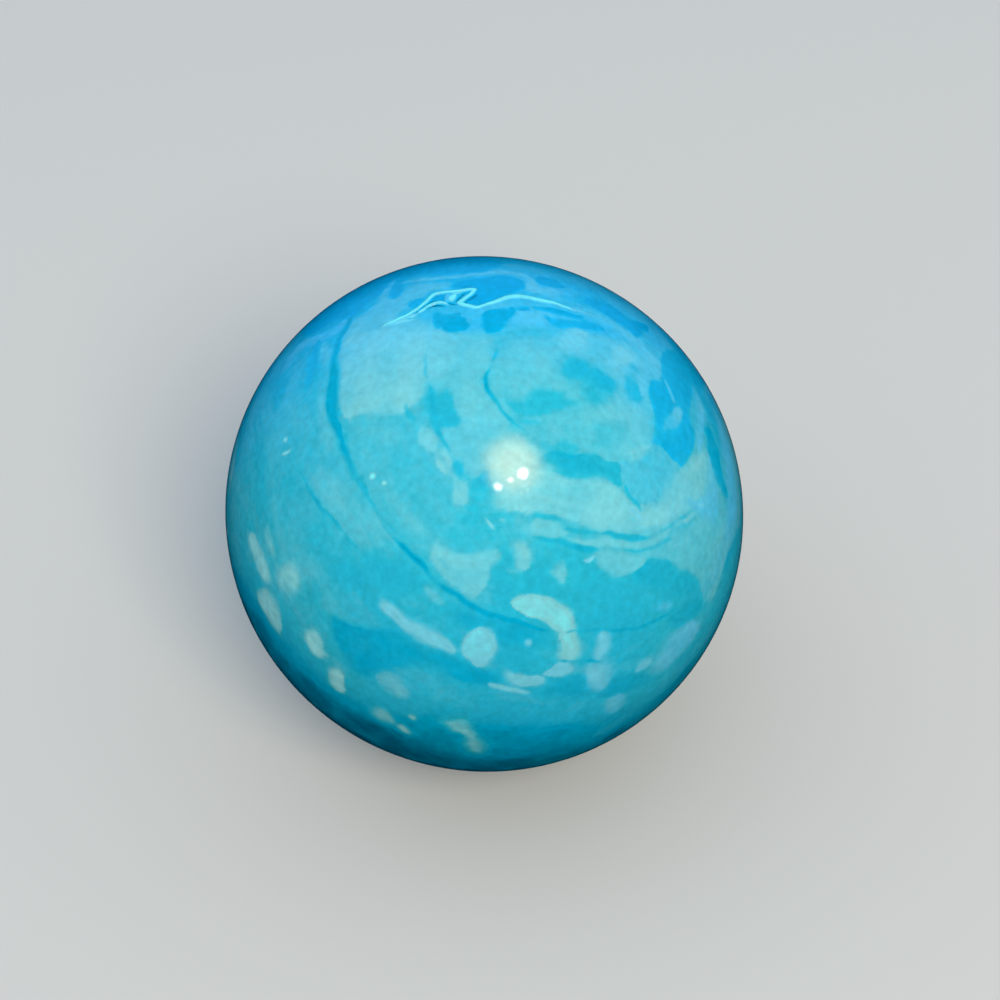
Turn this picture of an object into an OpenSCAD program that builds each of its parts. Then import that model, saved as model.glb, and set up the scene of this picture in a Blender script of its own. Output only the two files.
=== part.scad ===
// Solid glass marble, in millimetres.
//
// A marble is one gob of glass, rolled to a ball while it is hot. It has no
// seam, core or hollow: its swirls are streaks of coloured glass in the one
// body, so the whole marble is a single solid.
//
// The origin is the ball's centre and +Z is up. The eye of the swirl looks
// towards -Y and up, as the marble lies when it is seen from the front.

/* [Ball] */
// Diameter over the finished glass
marble_d = 25; // [12:0.5:50]

/* [Hidden] */

// Facets round the ball in the preview; the exported solid is a true sphere.
$fn = 128;

// The marble: one true ball of opaque turquoise glass, centred on the origin.
module marble() {
    color("darkturquoise")
        sphere(d = marble_d);
}

marble();
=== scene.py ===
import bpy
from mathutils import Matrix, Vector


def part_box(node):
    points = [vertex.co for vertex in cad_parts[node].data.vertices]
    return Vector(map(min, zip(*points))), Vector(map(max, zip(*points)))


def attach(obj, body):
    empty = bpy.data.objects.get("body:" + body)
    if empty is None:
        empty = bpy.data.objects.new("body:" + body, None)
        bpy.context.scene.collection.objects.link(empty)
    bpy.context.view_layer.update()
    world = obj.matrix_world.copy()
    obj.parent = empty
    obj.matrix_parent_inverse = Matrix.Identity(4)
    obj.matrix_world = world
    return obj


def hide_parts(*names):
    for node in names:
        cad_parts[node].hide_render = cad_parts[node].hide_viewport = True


bl_info = {
    "name": "Swirled Glass Marble",
    "version": (1, 0, 0),
    "blender": (4, 5, 0),
    "location": "View3D > Sidebar > Marble",
    "description": "Makes a turquoise glass marble with its swirls, and a plain stage for it",
    "category": "Add Mesh",
}

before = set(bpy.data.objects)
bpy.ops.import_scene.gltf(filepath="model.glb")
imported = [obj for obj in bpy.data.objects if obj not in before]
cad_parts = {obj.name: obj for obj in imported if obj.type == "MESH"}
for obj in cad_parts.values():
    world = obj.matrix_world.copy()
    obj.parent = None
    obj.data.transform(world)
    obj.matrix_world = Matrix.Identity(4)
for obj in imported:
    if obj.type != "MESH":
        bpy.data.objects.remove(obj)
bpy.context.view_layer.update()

import math

import bmesh
import bpy
import numpy as np
from mathutils import Vector

MM = 0.001

# The ball, from the frame: its centre, and the largest radius that stays inside its box.
BALL_LOW, BALL_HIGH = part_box("marble")
CENTRE = (BALL_LOW + BALL_HIGH) / 2
RADIUS = min(BALL_HIGH - BALL_LOW) / 2
RADIUS_MM = RADIUS / MM

# Marks are drawn in millimetres on a flat sheet held against the marble's face,
# (across, up) from the middle of the face, for a ball of DRAWN_RADIUS. They are
# lifted from the sheet straight back onto the glass.
DRAWN_RADIUS = 12.5
FACE_TILT = math.radians(48)
EYE_ON_SHEET = (3.4, 5.6)

# Places along each span of a drawn line, and half the length of the streak that makes a spot.
SPAN_STEPS = 7
SPOT_HALF = 0.02

# A streak narrower than this, in millimetres, keeps its sharp edges, and the mesh is cut finer for it.
THIN = 0.45

# Past its outline a mark may reach this share of its soft edge, and this far in millimetres
# by wavering.
SOFT_ROOM = 1.5
WAVER_ROOM = 0.6

# A direction along which no mark faces, and a square length that is as good as none.
ASKEW = (0.31, 0.47, 0.83)
TINY = 1e-12

# Marks for the hidden glass stay this far outside the face, as the cosine from its middle.
FACE_EDGE = 0.16

# Smooth noise over the glass is a sum of so many waves, from the smallest to the largest share
# of its size. Each kind of it is an amount, a size in millimetres and a seed.
NOISE_WAVES = 24
WAVE_SIZES = (0.7, 1.6)
WIDE_WAVER = (0.07, 2.4, 11)
FINE_WAVER = (0.035, 0.8, 21)
SLIGHT_WAVER = (0.03, 1.2, 29)
GROUND_TONE = (0.12, 5.0, 31)
GROUND_AZURE = (0.06, 6.0, 41)
EDGE_SPREAD = (0.45, 2.2, 51)
THINNING = (0.22, 1.4, 61)
SWIRL_BEND = (0.7, 7.0, 71)
SWIRL_WAVER = (0.25, 2.5, 72)

# The bare glass turns azure up the face, more so towards its sides, and a little towards its
# foot. The turn up the face is partly the glass's own azure and partly a painted tint of the cool light
# from above. AZURE_UP is a slope and what is taken off it, the other two a slope and where it starts.
# Behind the face only the share AZURE_BEHIND of it is left.
AZURE_UP = (1.6, 0.62)
AZURE_ASIDE = (0.9, 0.35)
AZURE_BELOW = (0.25, 0.1)
AZURE_BEHIND = 0.45

# Broad edges are this much softer than drawn. What is brighter than FOLD_TONE or has an edge
# finer than FINE_EDGE hardly wavers.
EDGE_SOFTENING = 1.35
FOLD_TONE = 1.8
FINE_EDGE = 0.1

# How far the fold's lip stands up, and the share of that to which its grooves go down.
LIP_HEIGHT = 0.05 * MM
GROOVE_SHARE = 0.6

# The ball is flattest along a direction that leans this far up from the face's right.
FLAT_LEAN = math.radians(55)

# The most triangles that the marble may have.
MOST_TRIANGLES = 199000

# Fine variation in the glass, as size in millimetres, detail and amount.
CLOUDS = ((2.0, 2.0, 0.14), (0.8, 3.0, 0.14), (0.28, 3.0, 0.13))
GRAIN = ((0.36, 4.0, 0.22), (1.4, 2.0, 0.07))

# Streaks drawn out along the swirl, as width and length in millimetres and amount.
WISPS = ((1.3, 6.0, 0.24), (0.4, 3.5, 0.17))

# Tones between which the glass turns to the fold's lip, whose brightness is partly a painted highlight,
# and to the dark colour of the deepest lines and of painted shade in the fold's grooves and along the
# lower rim.
TO_LIP = (1.35, 2.0)
TO_DARK_LINE_AND_SHADE = (-1.4, -2.4)

# Colour of the even backdrop, between which distances the floor fades into it, and half the
# width of the floor, both in ball radii.
BACKDROP = (0.58, 0.59, 0.585)
FADE = (16, 60)
FLOOR_HALF = 240

# Lamps stand this far from the ball, in metres. The key's way is across, up and out from the
# face, and the sky's place is from the ball's centre.
LAMP_REACH = 0.5
KEY_WAY = (0.24, 0.01, 0.96)
KEY_SIZE = 0.25
KEY_COLOUR = (1.0, 0.93, 0.76)
SKY_PLACE = (-0.40, 0.12, 0.36)
SKY_SIZE = 0.6
SKY_COLOUR = (0.60, 0.80, 1.0)

# Lamps that are only mirrored by the glass, at these spots of the face. The amber shade dims
# towards its edge. The bulbs, a little nearer, are places, sizes and glares.
SHADE_SPOT = (1.25, 2.15)
SHADE_SIZE = 0.29
SHADE_POWER = 1.5
SHADE_COLOUR = (1.0, 0.52, 0.09)
SHADE_DIMS = (0.15, 0.5)
BULB_NEARER = 0.98
BULB_COLOUR = (1.0, 0.96, 0.9)
BULBS = ((1.70, 1.78, 0.034, 90), (1.15, 1.5, 0.013, 160), (0.56, 1.18, 0.024, 90))

# The room's light comes in between these heights of a direction. What the glass mirrors of the
# room is deeper, and brighter from behind.
ROOM_LIGHT = (0.64, 0.81, 1.0)
ROOM_HEIGHTS = (-0.35, 0.08)
ROOM_MIRRORED = (0.1, 0.5, 1.0)
MIRRORED_WAYS = (0.3, 1.0)
MIRRORED_SHARES = (0.3, 0.9)

# The camera's sensor in millimetres, and the point that it looks at, across and up the face in
# ball radii.
SENSOR = 36
AIM = (0.060, 0.0525)


# ---------------------------------------------------------------- settings

# What all colours, and all lengths, have in common as settings.
COLOUR = {"subtype": "COLOR", "min": 0.0, "max": 1.0}
LENGTH = {"subtype": "DISTANCE", "precision": 6}


class MarbleGlass(bpy.types.PropertyGroup):
    """Shape and colours of the glass."""

    cells: bpy.props.IntProperty(
        name="Cells", description="Grid cells along one side of the cube that the ball is blown up from",
        default=60, min=16, max=100)
    out_of_round: bpy.props.FloatProperty(
        name="Out of round", description="Share of the radius lost along the flattened direction",
        default=0.012, min=0.0, max=0.05, subtype="FACTOR")
    ripple_height: bpy.props.FloatProperty(
        name="Ripple height", description="Height of the faint orange peel left by the rollers",
        default=0.0035 * MM, **LENGTH)
    ripple_size: bpy.props.FloatProperty(
        name="Ripple size", description="Width of one orange peel dimple", default=1.6 * MM, **LENGTH)
    skin_inset: bpy.props.FloatProperty(
        name="Skin inset", description="How far the skin lies inside the true ball, below the fold",
        default=0.06 * MM, **LENGTH)
    deep_teal: bpy.props.FloatVectorProperty(
        name="Deep teal", description="The deepest glass on the lower side",
        default=(0.0, 0.445, 0.635), **COLOUR)
    teal: bpy.props.FloatVectorProperty(
        name="Teal", description="The glass between the swirls on the lower side",
        default=(0.028, 0.53, 0.658), **COLOUR)
    milk: bpy.props.FloatVectorProperty(
        name="Milk", description="The palest swirls", default=(0.225, 0.675, 0.70), **COLOUR)
    # Towards the crown the bare glass turns to the azure colours partly as a painted tint of cool light
    # from above.
    deep_azure: bpy.props.FloatVectorProperty(
        name="Deep azure", description="The deepest glass near the crown",
        default=(0.0, 0.455, 0.835), **COLOUR)
    azure: bpy.props.FloatVectorProperty(
        name="Azure", description="The glass between the swirls near the crown",
        default=(0.005, 0.53, 0.93), **COLOUR)
    sky_milk: bpy.props.FloatVectorProperty(
        name="Sky milk", description="The palest swirls near the crown",
        default=(0.14, 0.685, 0.955), **COLOUR)
    # Cream is also the tint of the painted warm reflection round the highlight in the middle of the face.
    cream: bpy.props.FloatVectorProperty(
        name="Cream", description="The creamier blobs near the lower left edge",
        default=(0.38, 0.84, 0.80), **COLOUR)
    moss: bpy.props.FloatVectorProperty(
        name="Moss", description="The greener glass round the creamier blobs",
        default=(0.03, 0.51, 0.56), **COLOUR)
    # The lip's colour is pale glass brightened as a painted highlight of the light on the fold's ridge.
    lip: bpy.props.FloatVectorProperty(
        name="Lip", description="The bright glass on the lip of the cold fold",
        default=(0.2, 0.97, 1.0), **COLOUR)
    # Dark colour of the deepest lines in the glass, and of painted shade in the fold's grooves and along
    # the lower rim.
    dark_line_and_shade: bpy.props.FloatVectorProperty(
        name="Groove", description="The dark glass in the fold's grooves and the deepest lines",
        default=(0.0, 0.14, 0.25), **COLOUR)
    roughness: bpy.props.FloatProperty(
        name="Roughness", description="Roughness of the fire-polished skin",
        default=0.07, min=0.0, max=1.0, subtype="FACTOR")
    seed: bpy.props.IntProperty(
        name="Seed", description="Start of the random draws for the swirls that the face doesn't show",
        default=7)


class MarbleStage(bpy.types.PropertyGroup):
    """Floor, lights and camera."""

    floor: bpy.props.FloatVectorProperty(
        name="Floor", description="Colour of the floor", default=(0.72, 0.665, 0.61), **COLOUR)
    lamp_power: bpy.props.FloatProperty(
        name="Lamp power", description="Strength of the warm key light", default=1.355, unit="POWER")
    sky_power: bpy.props.FloatProperty(
        name="Sky power", description="Strength of the cool light from above and behind",
        default=0.28, unit="POWER")
    room_above: bpy.props.FloatProperty(
        name="Room above", description="Strength of the even light that comes from above the floor",
        default=0.73)
    room_below: bpy.props.FloatProperty(
        name="Room below", description="Strength of the light that the floor gives back", default=0.0)
    lens: bpy.props.FloatProperty(
        name="Lens", description="Focal length of the camera", default=81.0, unit="CAMERA")
    distance: bpy.props.FloatProperty(
        name="Distance", description="From the camera to the middle of the ball, in ball radii",
        default=8.67)


# ---------------------------------------------------------------- faces of the ball

def face_frame(tilt):
    """Right, up and outward directions of a face tilted up from the horizon."""
    right = Vector((1, 0, 0))
    up = Vector((0, math.sin(tilt), math.cos(tilt)))
    out = Vector((0, -math.cos(tilt), math.sin(tilt)))
    return tuple(np.array(way) for way in (right, up, out))


FRONT = face_frame(FACE_TILT)


def lift(points, face=FRONT):
    """Points on a face's sheet, in drawn millimetres, as unit directions from the ball's centre."""
    flat = np.array(points, float) / DRAWN_RADIUS
    depth = np.sqrt(np.maximum(1 - (flat ** 2).sum(1), 0.0))
    right, up, out = face
    places = flat[:, :1] * right + flat[:, 1:] * up + depth[:, None] * out
    return places / np.linalg.norm(places, axis=1)[:, None]


def spline(points, closed):
    """A smooth line through the points: Catmull-Rom spans, closed or open, any number of columns."""
    knots = np.array(points, float)
    count = len(knots)
    along = np.arange(SPAN_STEPS)[:, None] / SPAN_STEPS
    line = []
    for i in range(count if closed else count - 1):
        if closed:
            a, b, c, d = (knots[(i + k) % count] for k in (-1, 0, 1, 2))
        else:
            a, b, c, d = (knots[min(max(i + k, 0), count - 1)] for k in (-1, 0, 1, 2))
        line.append(0.5 * (
            2 * b
            + (c - a) * along
            + (2 * a - 5 * b + 4 * c - d) * along ** 2
            + (3 * b - a - 3 * c + d) * along ** 3
        ))
    if not closed:
        line.append(knots[-1:])
    return np.concatenate(line)


def ease(value):
    """A value kept between 0 and 1, with smooth turns at both ends."""
    value = np.clip(value, 0, 1)
    return value * value * (3 - 2 * value)


# ---------------------------------------------------------------- marks in the glass

class Mark:
    """One patch or streak of coloured glass, as a line of places on the ball.

    tone runs from -2.4, the dark colour of the deepest lines and of painted shade in the fold's grooves
    and along the lower rim, through -1, deep glass, 0, plain, and 1, the palest milk, to 2, the fold's
    bright lip, partly a painted highlight. azure runs from -1, creamy, through 0, teal, to 1, and
    None leaves it alone. soft is the width of its edge in millimetres. widths is None for a patch."""

    def __init__(self, line, tone, soft, strength, widths, azure):
        self.line = line * RADIUS_MM
        self.tone = tone
        self.soft = soft
        self.strength = strength
        self.widths = widths
        self.azure = azure
        self.thin = widths is not None and widths.max() < THIN
        middle = line.mean(0)
        self.middle = middle / np.linalg.norm(middle)
        margin = SOFT_ROOM * soft + WAVER_ROOM
        if widths is not None:
            margin += widths.max() / 2
        self.reach = np.arccos(np.clip((line @ self.middle).min(), -1, 1)) + margin / RADIUS_MM

    def nearby(self, places):
        """Which places, as unit directions, the mark can reach."""
        return np.nonzero(places @ self.middle > math.cos(min(self.reach, math.pi)))[0]

    def depth_inside(self, spots):
        """Distance inside the mark's edge, in millimetres, negative outside, and the local half width."""
        starts = self.line
        ends = np.roll(self.line, -1, 0)
        if self.widths is not None:
            starts, ends = starts[:-1], ends[:-1]
        best = np.full(len(spots), np.inf)
        half = np.full(len(spots), np.inf)
        for i, (start, end) in enumerate(zip(starts, ends)):
            run = end - start
            t = np.clip((spots - start) @ run / max(run @ run, TINY), 0, 1)
            gap = np.linalg.norm(spots - start - t[:, None] * run, axis=1)
            if self.widths is None:
                best = np.minimum(best, gap)
                continue
            width = (self.widths[i] + (self.widths[i + 1] - self.widths[i]) * t) / 2
            closer = gap - width < best
            best = np.where(closer, gap - width, best)
            half = np.where(closer, width, half)
        if self.widths is None:
            return np.where(self.encloses(spots), best, -best), half
        return -best, half

    def encloses(self, spots):
        """Whether each spot lies inside the closed line, seen straight down on the mark's middle."""
        side = np.cross(self.middle, ASKEW)
        side /= np.linalg.norm(side)
        top = np.cross(self.middle, side)
        x, y = spots @ side, spots @ top
        px, py = self.line @ side, self.line @ top
        qx, qy = np.roll(px, -1), np.roll(py, -1)
        inside = np.zeros(len(spots), bool)
        for ax, ay, bx, by in zip(px, py, qx, qy):
            if ay != by:
                inside ^= ((ay > y) != (by > y)) & (x < (bx - ax) * (y - ay) / (by - ay) + ax)
        return inside & (spots @ self.middle > 0)

    def cover(self, spots, softening=1.0):
        """How much of the mark shows at each spot, from 0 to its strength."""
        depth, half = self.depth_inside(spots)
        soft = self.soft * softening
        return self.strength * ease(0.5 + depth / soft) * np.clip(2 * half / soft, 0, 1)


class Ink:
    """The marks in the glass, in the order in which they are laid over each other."""

    def __init__(self):
        self.marks = []

    def patch(self, tone, points, soft=0.3, strength=1.0, azure=None, face=FRONT):
        """A closed patch whose edge runs smoothly through the points."""
        self.marks.append(Mark(lift(spline(points, True), face), tone, soft, strength, None, azure))

    def streak(self, tone, width, points, soft=0.2, strength=1.0, azure=None, face=FRONT):
        """A streak along the points. width is one value, or one for each point."""
        widths = np.broadcast_to(np.array(width, float), (len(points),))
        line = spline(np.column_stack([np.array(points, float), widths]), False)
        widths = np.maximum(line[:, 2], 0)
        self.marks.append(Mark(lift(line[:, :2], face), tone, soft, strength, widths, azure))

    def spot(self, tone, size, place, soft, azure=None, face=FRONT):
        """A round spot."""
        x, y = place
        self.streak(tone, size, [(x - SPOT_HALF, y), (x + SPOT_HALF, y)], soft, azure=azure, face=face)

    def trail(self, tone, widths, line, soft, azure):
        """A streak along unit directions, with one width for each."""
        self.marks.append(Mark(line, tone, soft, 1.0, widths, azure))


def draw_ground(ink):
    """Broad, soft changes of tone under everything else."""
    ink.patch(0.15, [
        (-11.4, 3), (-10.2, 6), (-7.5, 7.5), (-7, 3), (-5.5, 0), (-6.5, -3.5), (-9, -4),
        (-11.5, -1)], soft=2.0)
    ink.patch(0.25, [
        (-6.5, 3), (-6, 8), (-2, 9.5), (4, 9.8), (8.5, 7.5), (11, 2), (11.2, -1.5), (9, -2.8), (4, -1.2),
        (0.5, 0.5), (-1, -1.6), (-3.6, -1.4)], soft=1.6, strength=0.8)
    ink.patch(0.0, [
        (-12.0, 0.8), (-9.8, 0.8), (-8.2, -1.0), (-6.8, -3.4), (-6.6, -5.6), (-5.4, -8.0), (-3.0, -9.4),
        (-2.0, -11.6), (-7.0, -10.0), (-11.6, -4.0)], soft=2.5, strength=0.4, azure=-0.75)
    ink.patch(0.02, [
        (-5.0, -1.2), (-2.0, -3.4), (1.0, -4.6), (3.6, -5.0), (6.6, -5.0), (9.6, -3.9), (10.6, -5.6),
        (8.0, -8.0), (2.0, -8.0), (-3.0, -7.0), (-7.5, -6.5), (-8.5, -4.0)], soft=1.2)
    ink.patch(-0.15, [
        (1.0, -1.6), (4.6, -2.2), (6.6, -3.0), (9.6, -3.3), (9.6, -3.9), (6.6, -4.9), (3.6, -4.9),
        (0.6, -4.3), (0.4, -3.0)], soft=0.7)


def draw_crown(ink):
    """The azure cap with its pale streaks, and the deep patches on both sides of the fold."""
    ink.patch(0.25, [
        (2.6, 10.9), (4.2, 11.3), (6.4, 10.4), (8.2, 8.9), (8.9, 7.9), (8.0, 7.6), (6.6, 9.2), (4.8, 10.0),
        (3.4, 10.1)], soft=0.5, azure=0.9)
    ink.patch(-0.8, [
        (-8.3, 8.4), (-7.6, 8.6), (-6.9, 8.9), (-6.2, 9.0), (-5.7, 9.3), (-5.2, 9.8), (-4.6, 10.2),
        (-4.0, 10.6), (-3.2, 11.0), (-1.8, 11.1), (-0.6, 11.15), (0.4, 11.35), (0.8, 11.9), (-2.0, 12.25),
        (-5.5, 11.2), (-8.5, 9.2)], soft=0.35, azure=1.0)
    ink.streak(-0.2, [0.2, 0.6, 0.5, 0.2], [
        (-5.9, 10.1), (-5.0, 10.8), (-4.2, 11.3), (-3.0, 11.7)], soft=0.5)
    ink.streak(-0.35, [0.1, 0.4, 0.3, 0.1], [
        (-7.9, 8.9), (-7.2, 9.4), (-6.4, 9.8), (-5.6, 10.0)], soft=0.4)
    ink.patch(0.5, [
        (-6.1, 8.3), (-5.8, 8.9), (-5.2, 9.35), (-4.6, 9.9), (-3.9, 10.3), (-2.6, 10.55), (-1.6, 10.6),
        (-1.5, 10.25), (-2.3, 10.15), (-2.8, 9.8), (-3.2, 9.4), (-4.0, 8.9),
        (-4.6, 8.3)], soft=0.5, azure=0.65)
    ink.streak(0.5, [0.3, 0.5, 0.5, 0.4], [
        (-4.8, 9.65), (-4.62, 10.05), (-4.38, 10.45), (-4.1, 10.9)], soft=0.35)
    ink.patch(-0.75, [
        (-4.4, 9.95), (-4.25, 10.4), (-3.95, 10.75), (-3.72, 10.6), (-3.8, 10.2),
        (-4.05, 9.85)], soft=0.22, azure=0.95)
    ink.streak(0.55, [0.15, 0.4, 0.4, 0.25], [
        (-4.0, 9.7), (-3.5, 10.1), (-2.9, 10.4), (-2.2, 10.55)], soft=0.35)
    ink.streak(0.6, [0.15, 0.34, 0.4, 0.32, 0.32, 0.4, 0.36, 0.2], [
        (-3.7, 10.7), (-2.4, 10.85), (-1.2, 10.9), (-0.3, 11.05), (0.6, 11.2), (1.4, 11.15), (2.1, 10.95),
        (2.6, 10.6)], soft=0.28)
    ink.streak(0.25, [0.2, 0.4, 0.5, 0.3], [(0.2, 11.6), (1.2, 11.65), (2.4, 11.4), (3.6, 11.1)], soft=0.4)
    ink.patch(0.72, [
        (1.95, 10.4), (2.1, 10.8), (2.5, 10.75), (2.7, 10.35), (3.3, 10.3), (3.4, 9.95), (2.6, 10.0),
        (2.0, 10.1)], soft=0.3, azure=0.8)
    ink.patch(-1.4, [
        (-1.25, 10.35), (-0.9, 10.6), (-0.2, 10.75), (0.5, 10.95), (1.2, 10.95), (1.8, 10.75),
        (1.95, 10.4), (1.6, 10.1), (0.9, 9.9), (0.3, 9.65), (0.0, 9.4), (-0.4, 9.4), (-0.8, 9.6),
        (-0.6, 10.1), (-0.7, 10.25)], soft=0.22, azure=1.0)
    ink.patch(-0.7, [
        (-3.3, 9.5), (-3.0, 9.8), (-2.65, 9.75), (-2.8, 9.45), (-3.1, 9.35)], soft=0.22, azure=0.9)
    ink.patch(-1.25, [
        (2.6, 10.75), (2.75, 10.95), (3.2, 10.85), (3.6, 10.65), (3.75, 10.45), (3.3, 10.42),
        (2.85, 10.5)], soft=0.2, azure=0.95)
    ink.patch(0.2, [
        (-2.6, 8.9), (-1.0, 9.3), (0.6, 9.4), (2.0, 9.6), (3.4, 9.3), (5.4, 8.8), (6.6, 8.0), (5.6, 8.0),
        (4.0, 8.3), (2.0, 8.4), (0.0, 8.2), (-2.0, 8.1), (-2.6, 8.4)], soft=0.5, azure=0.8)
    ink.patch(0.5, [
        (1.3, 8.5), (1.5, 9.05), (2.3, 9.1), (3.1, 9.0), (3.2, 8.6), (2.4, 8.4)], soft=0.35, azure=0.8)
    ink.patch(-1.15, [
        (-2.22, 8.25), (-2.16, 8.7), (-2.12, 8.98), (-1.95, 9.0), (-1.5, 8.86), (-1.0, 8.84),
        (-0.76, 8.72), (-0.72, 8.45), (-0.82, 8.2), (-1.05, 8.1), (-1.4, 8.02), (-1.7, 8.1), (-1.86, 8.24),
        (-2.0, 8.12), (-2.18, 8.12)], soft=0.15, azure=0.55)
    ink.patch(-1.25, [
        (0.0, 8.2), (-0.04, 8.7), (0.04, 9.08), (0.5, 9.18), (1.0, 9.28), (1.34, 9.3), (1.4, 9.02),
        (1.2, 8.66), (1.0, 8.36), (0.62, 8.1), (0.28, 8.03), (0.06, 8.05)], soft=0.15, azure=0.55)
    ink.streak(-1.3, [0.08, 0.2, 0.24, 0.24, 0.1], [
        (1.6, 9.16), (2.2, 9.2), (3.0, 9.18), (3.7, 9.06), (4.6, 8.82)], soft=0.14)
    ink.patch(-0.55, [
        (2.85, 8.85), (3.3, 8.72), (3.9, 8.62), (4.8, 8.6), (5.4, 8.4), (5.5, 8.2), (4.6, 8.3),
        (3.8, 8.35), (3.1, 8.5)], soft=0.22, azure=0.8)
    ink.streak(0.65, [0.1, 0.22, 0.2, 0.1], [
        (3.2, 9.5), (4.2, 9.25), (5.0, 9.0), (5.8, 8.6)], soft=0.2, azure=0.7)
    ink.streak(0.55, [0.2, 0.4, 0.6, 0.6, 0.4], [
        (4.2, 9.5), (5.3, 9.1), (6.3, 8.4), (7.3, 7.6), (7.9, 6.9)], soft=0.4, azure=0.65)
    ink.patch(-1.3, [
        (4.65, 9.75), (4.8, 9.92), (5.2, 9.88), (5.7, 9.68), (6.3, 9.42), (6.55, 9.05), (7.1, 8.92),
        (7.7, 8.78), (7.75, 8.52), (7.35, 8.3), (7.05, 8.08), (6.75, 8.38), (6.3, 8.72), (5.7, 9.1),
        (5.1, 9.45)], soft=0.2, azure=0.9)
    ink.streak(0.35, [0.1, 0.25, 0.25, 0.1], [
        (6.55, 9.45), (7.0, 9.25), (7.5, 8.95), (8.0, 8.5)], soft=0.2)
    ink.streak(0.5, [0.5, 0.6, 0.62, 0.75, 0.9, 0.5], [
        (-9.02, 6.95), (-8.72, 7.5), (-8.3, 7.9), (-7.6, 8.08), (-6.95, 8.36),
        (-6.4, 8.8)], soft=0.25, azure=1.0)
    ink.streak(0.5, [0.2, 0.7, 0.8, 0.7, 0.3], [
        (5.6, 10.9), (7.6, 9.6), (9.3, 7.9), (10.6, 6.0), (11.3, 4.4)], soft=0.5, azure=0.85)


def draw_right_side(ink):
    """The azure field at the right of the eye, the wedge below it and the streak near the edge."""
    ink.patch(-0.6, [
        (8.15, 7.1), (8.5, 7.45), (9.2, 7.5), (9.9, 7.0), (10.5, 6.3), (10.2, 5.9), (9.75, 5.9),
        (9.65, 5.3), (9.4, 4.7), (9.45, 4.0), (9.6, 3.6), (9.5, 2.9), (9.15, 2.3), (8.9, 2.0), (8.7, 2.2),
        (8.3, 2.55), (7.9, 3.0), (7.4, 3.15), (7.7, 3.7), (7.6, 4.5), (7.45, 5.2), (7.65, 5.9),
        (8.1, 5.95), (8.05, 6.6)], soft=0.22, azure=0.6)
    ink.streak(0.55, [0.1, 0.26, 0.25, 0.08], [(8.2, 6.2), (8.4, 5.7), (8.6, 5.2), (8.75, 4.9)], soft=0.16)
    ink.patch(0.65, [
        (7.98, 3.68), (8.08, 4.12), (8.45, 4.5), (8.9, 4.82), (9.12, 4.45), (8.85, 3.98),
        (8.52, 3.68)], soft=0.22, azure=0.5)
    ink.streak(-0.1, [0.1, 0.22, 0.24, 0.1], [(9.1, 4.3), (9.25, 3.8), (9.35, 3.3), (9.3, 2.8)], soft=0.2)
    ink.streak(0.6, [0.2, 0.5, 0.6, 0.5, 0.3], [
        (9.7, 5.9), (10.0, 5.2), (10.0, 4.4), (9.9, 3.6), (9.8, 2.9)], soft=0.3, azure=0.7)
    ink.streak(0.6, [0.3, 1.0, 1.5, 1.6, 1.3, 0.6], [
        (10.4, 5.6), (11.0, 4.4), (11.4, 3.0), (11.55, 1.4), (11.5, 0.0),
        (11.2, -1.4)], soft=0.7, azure=0.7)
    ink.patch(-0.9, [
        (10.15, 3.75), (10.35, 3.9), (10.6, 3.5), (10.85, 2.9), (10.95, 2.2), (11.05, 1.5), (11.25, 1.0),
        (11.25, 0.7), (11.0, 0.9), (10.85, 1.2), (10.55, 1.5), (10.35, 2.1), (10.3, 2.8),
        (10.3, 3.3)], soft=0.22, azure=0.25)
    ink.patch(0.3, [
        (5.95, 2.2), (6.6, 2.2), (7.3, 2.5), (7.45, 3.05), (7.9, 3.0), (8.35, 2.5), (8.85, 2.0),
        (8.5, 1.5), (8.1, 1.0), (7.8, 0.6), (7.4, 0.4), (6.85, 0.35), (6.5, 0.6),
        (6.15, 1.3)], soft=0.2, azure=0.2)


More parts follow.
